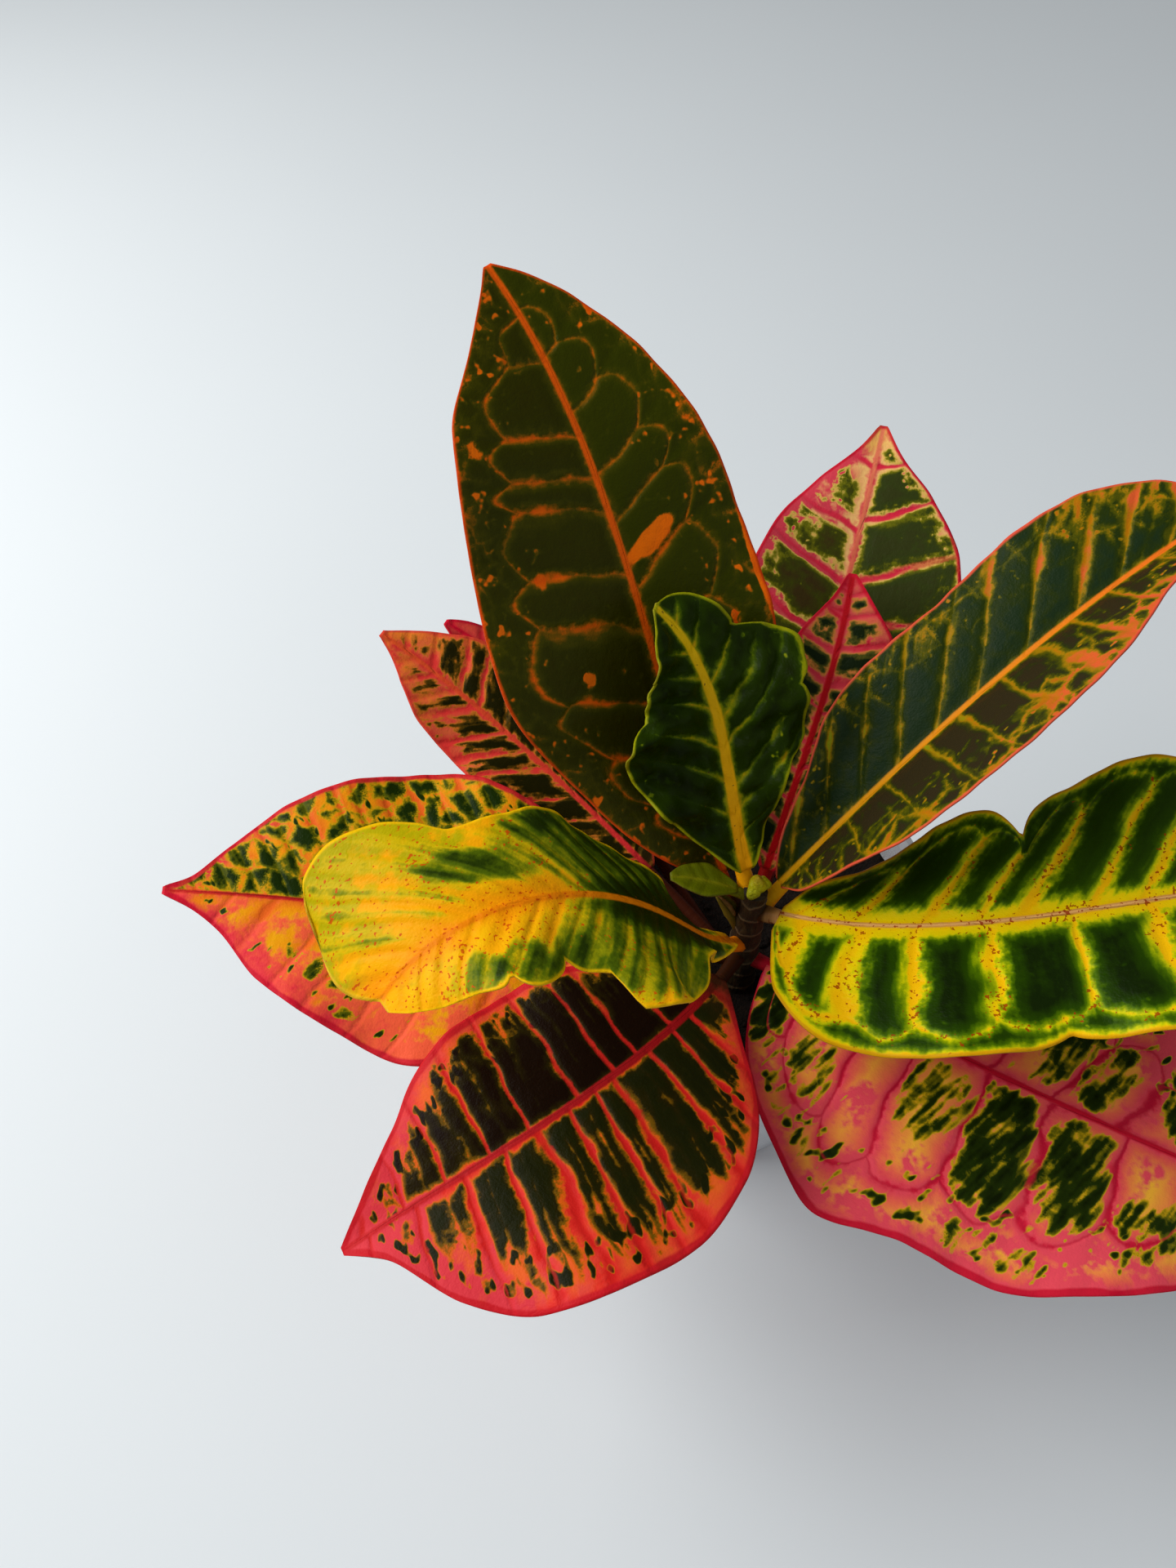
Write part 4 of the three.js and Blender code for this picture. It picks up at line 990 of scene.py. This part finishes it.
def bud_material():
    """Lime green, more yellow further up and brownish at the tips."""
    n = Nodes("bud_scales")
    place = n.place()
    _, _, z = n.split(place)
    blots = n.noise(place, 1.2 * MM, 3)
    height = n.remap(z * (1 / MM) + blots * 0.6, STEM_TOP, STEM_TOP + 6)
    colour = n.ramp(height, {0: (46, 48, 3), 0.6: (66, 65, 5), 1: (60, 48, 5)})
    n.bump(blots, 0.2)
    return n.finish(colour, blots * 0.04 + 0.45, Specular_IOR_Level=0.15)


def build_bud():
    """Three small pointed scales that are grown together on the tip of the stem."""
    rows, columns = 24, 32
    foot = STEM_TOP - 0.3
    turn = around(columns)
    points, faces = [], []
    for x, y, radius, tall in ((0, 0, 2.3, 6.2), (2.1, 1, 1.8, 4.6), (-1.2, -1.8, 1.7, 4)):
        faces += tube_faces(rows, columns, first=len(points) * columns)
        for share in np.linspace(0, 1, rows):
            swell = radius * (math.sin(math.pi * (0.18 + 0.82 * share)) ** 0.8) + 0.05
            keel = 1 + 0.12 * np.cos(3 * turn + 2 * share)
            points.append(vectors(
                STEM_AT[0] + x * (1 - 0.3 * share) + swell * keel * np.cos(turn),
                STEM_AT[1] + y * (1 - 0.3 * share) + swell * keel * np.sin(turn),
                foot + tall * share))
    piece = make_piece("bud_scales", np.concatenate(points), faces, bud_material())
    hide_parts("bud")


# Pot

def pot_material():
    """Pale grey moulded plastic with a fine grain, faint scuffs near the foot and soil dust inside."""
    n = Nodes("grey_plastic")
    place = n.place()
    x, y, z = n.split(place)
    grain = n.noise(place, 0.35 * MM)
    cloud = n.noise(place, 22 * MM, 3)
    drawn = n.noise(n.join(x, y, z * 14), 9 * MM, 3, 0.6)
    scuff = n.noise(n.join(x * 0.35, y * 0.35, z * 2.5), 1.2 * MM, 3, 0.7)
    low = n.remap(z, 0, 30 * MM, 1, 0)
    colour = n.ramp(cloud * 0.2 + drawn * 0.12 + 0.5, {0: (70, 71, 73), 1: (79, 80, 82)})
    worn = n.remap(scuff, 0.45, 0.9) * (low * 0.6 + 0.15)
    colour = n.mix(worn, colour, (60, 59, 57))
    radius = n.math("SQRT", x * x + y * y)
    sunk = z * WALL_SLOPE + FOOT_RADIUS * MM - radius
    inner = n.remap(sunk, 0.4 * WALL * MM, 0.8 * WALL * MM)
    above_soil = n.remap(z, 90 * MM, 104 * MM, 0.85, 0.15)
    dusty = inner * above_soil * n.remap(cloud + grain, -0.8, 0.8)
    colour = n.mix(dusty, colour, (30, 23, 18))
    n.bump(grain * 0.3 + drawn * 0.2 + worn * -0.4, 0.12)
    return n.finish(colour, grain * 0.04 + worn * 0.2 + 0.42)


def dress_pot():
    """The pot stays the CAD model's own mesh, with its edges kept sharp."""
    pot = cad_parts["pot"]
    pot.data.materials.clear()
    pot.data.materials.append(pot_material())
    creases = pot.modifiers.new("creases", "EDGE_SPLIT")
    creases.split_angle = math.radians(25)


# Floor, light and camera, in metres

def build_floor():
    mesh = bpy.data.meshes.new("floor")
    reach = 4
    corners = [(-reach, -reach, 0), (reach, -reach, 0), (reach, reach, 0), (-reach, reach, 0)]
    mesh.from_pydata(corners, [], [(0, 1, 2, 3)])
    n = Nodes("pale_floor")
    cloud = n.noise(n.place(), 0.3)
    colour = n.ramp(cloud * 0.2 + 0.5, {0: (89, 91.5, 93), 1: (91, 93.5, 95)})
    mesh.materials.append(n.finish(colour, 0.8))
    floor = add_object("floor", mesh)


def add_light(name, place, size, power, colour):
    """A square light that shines on the middle of the plant, with its power in watts."""
    aim = Vector((0, 0, 0.12))
    data = bpy.data.lights.new(name, "AREA")
    data.size = size
    data.energy = power
    data.color = colour
    light = add_object(name, data)
    light.location = place
    light.rotation_euler = (aim - Vector(place)).to_track_quat("-Z", "Y").to_euler()


def light_scene():
    """Soft light all around, a window on the left and a weak fill from the right."""
    world = bpy.data.worlds.new("studio")
    world.use_nodes = True
    background = world.node_tree.nodes["Background"]
    background.inputs["Color"].default_value = (0.96, 0.98, 1, 1)
    background.inputs["Strength"].default_value = 0.29
    bpy.context.scene.world = world
    add_light("window", (-0.95, 0.15, 0.85), size=0.9, power=15.5, colour=(1, 0.99, 0.97))
    add_light("fill", (0.9, -0.7, 0.9), size=1.2, power=2, colour=(0.95, 0.98, 1))
    bpy.context.scene.view_settings.view_transform = "Standard"


def add_camera():
    """The photograph's own view: a phone held close above the plant, looking down at 54 degrees."""
    data = bpy.data.cameras.new("camera")
    data.sensor_fit = "VERTICAL"
    data.sensor_height = 36
    data.lens = 27.04
    data.clip_start = 0.01
    camera = add_object("camera", data)
    camera.location = (-0.0407, -0.1742, 0.3999)
    camera.rotation_euler = (math.radians(36), 0, 0)
    bpy.context.scene.camera = camera


add_camera()
light_scene()
build_floor()
dress_pot()
build_soil()
build_crumbs()
build_stem()
build_bud()
for leaf in LEAVES:
    build_leaf(leaf)
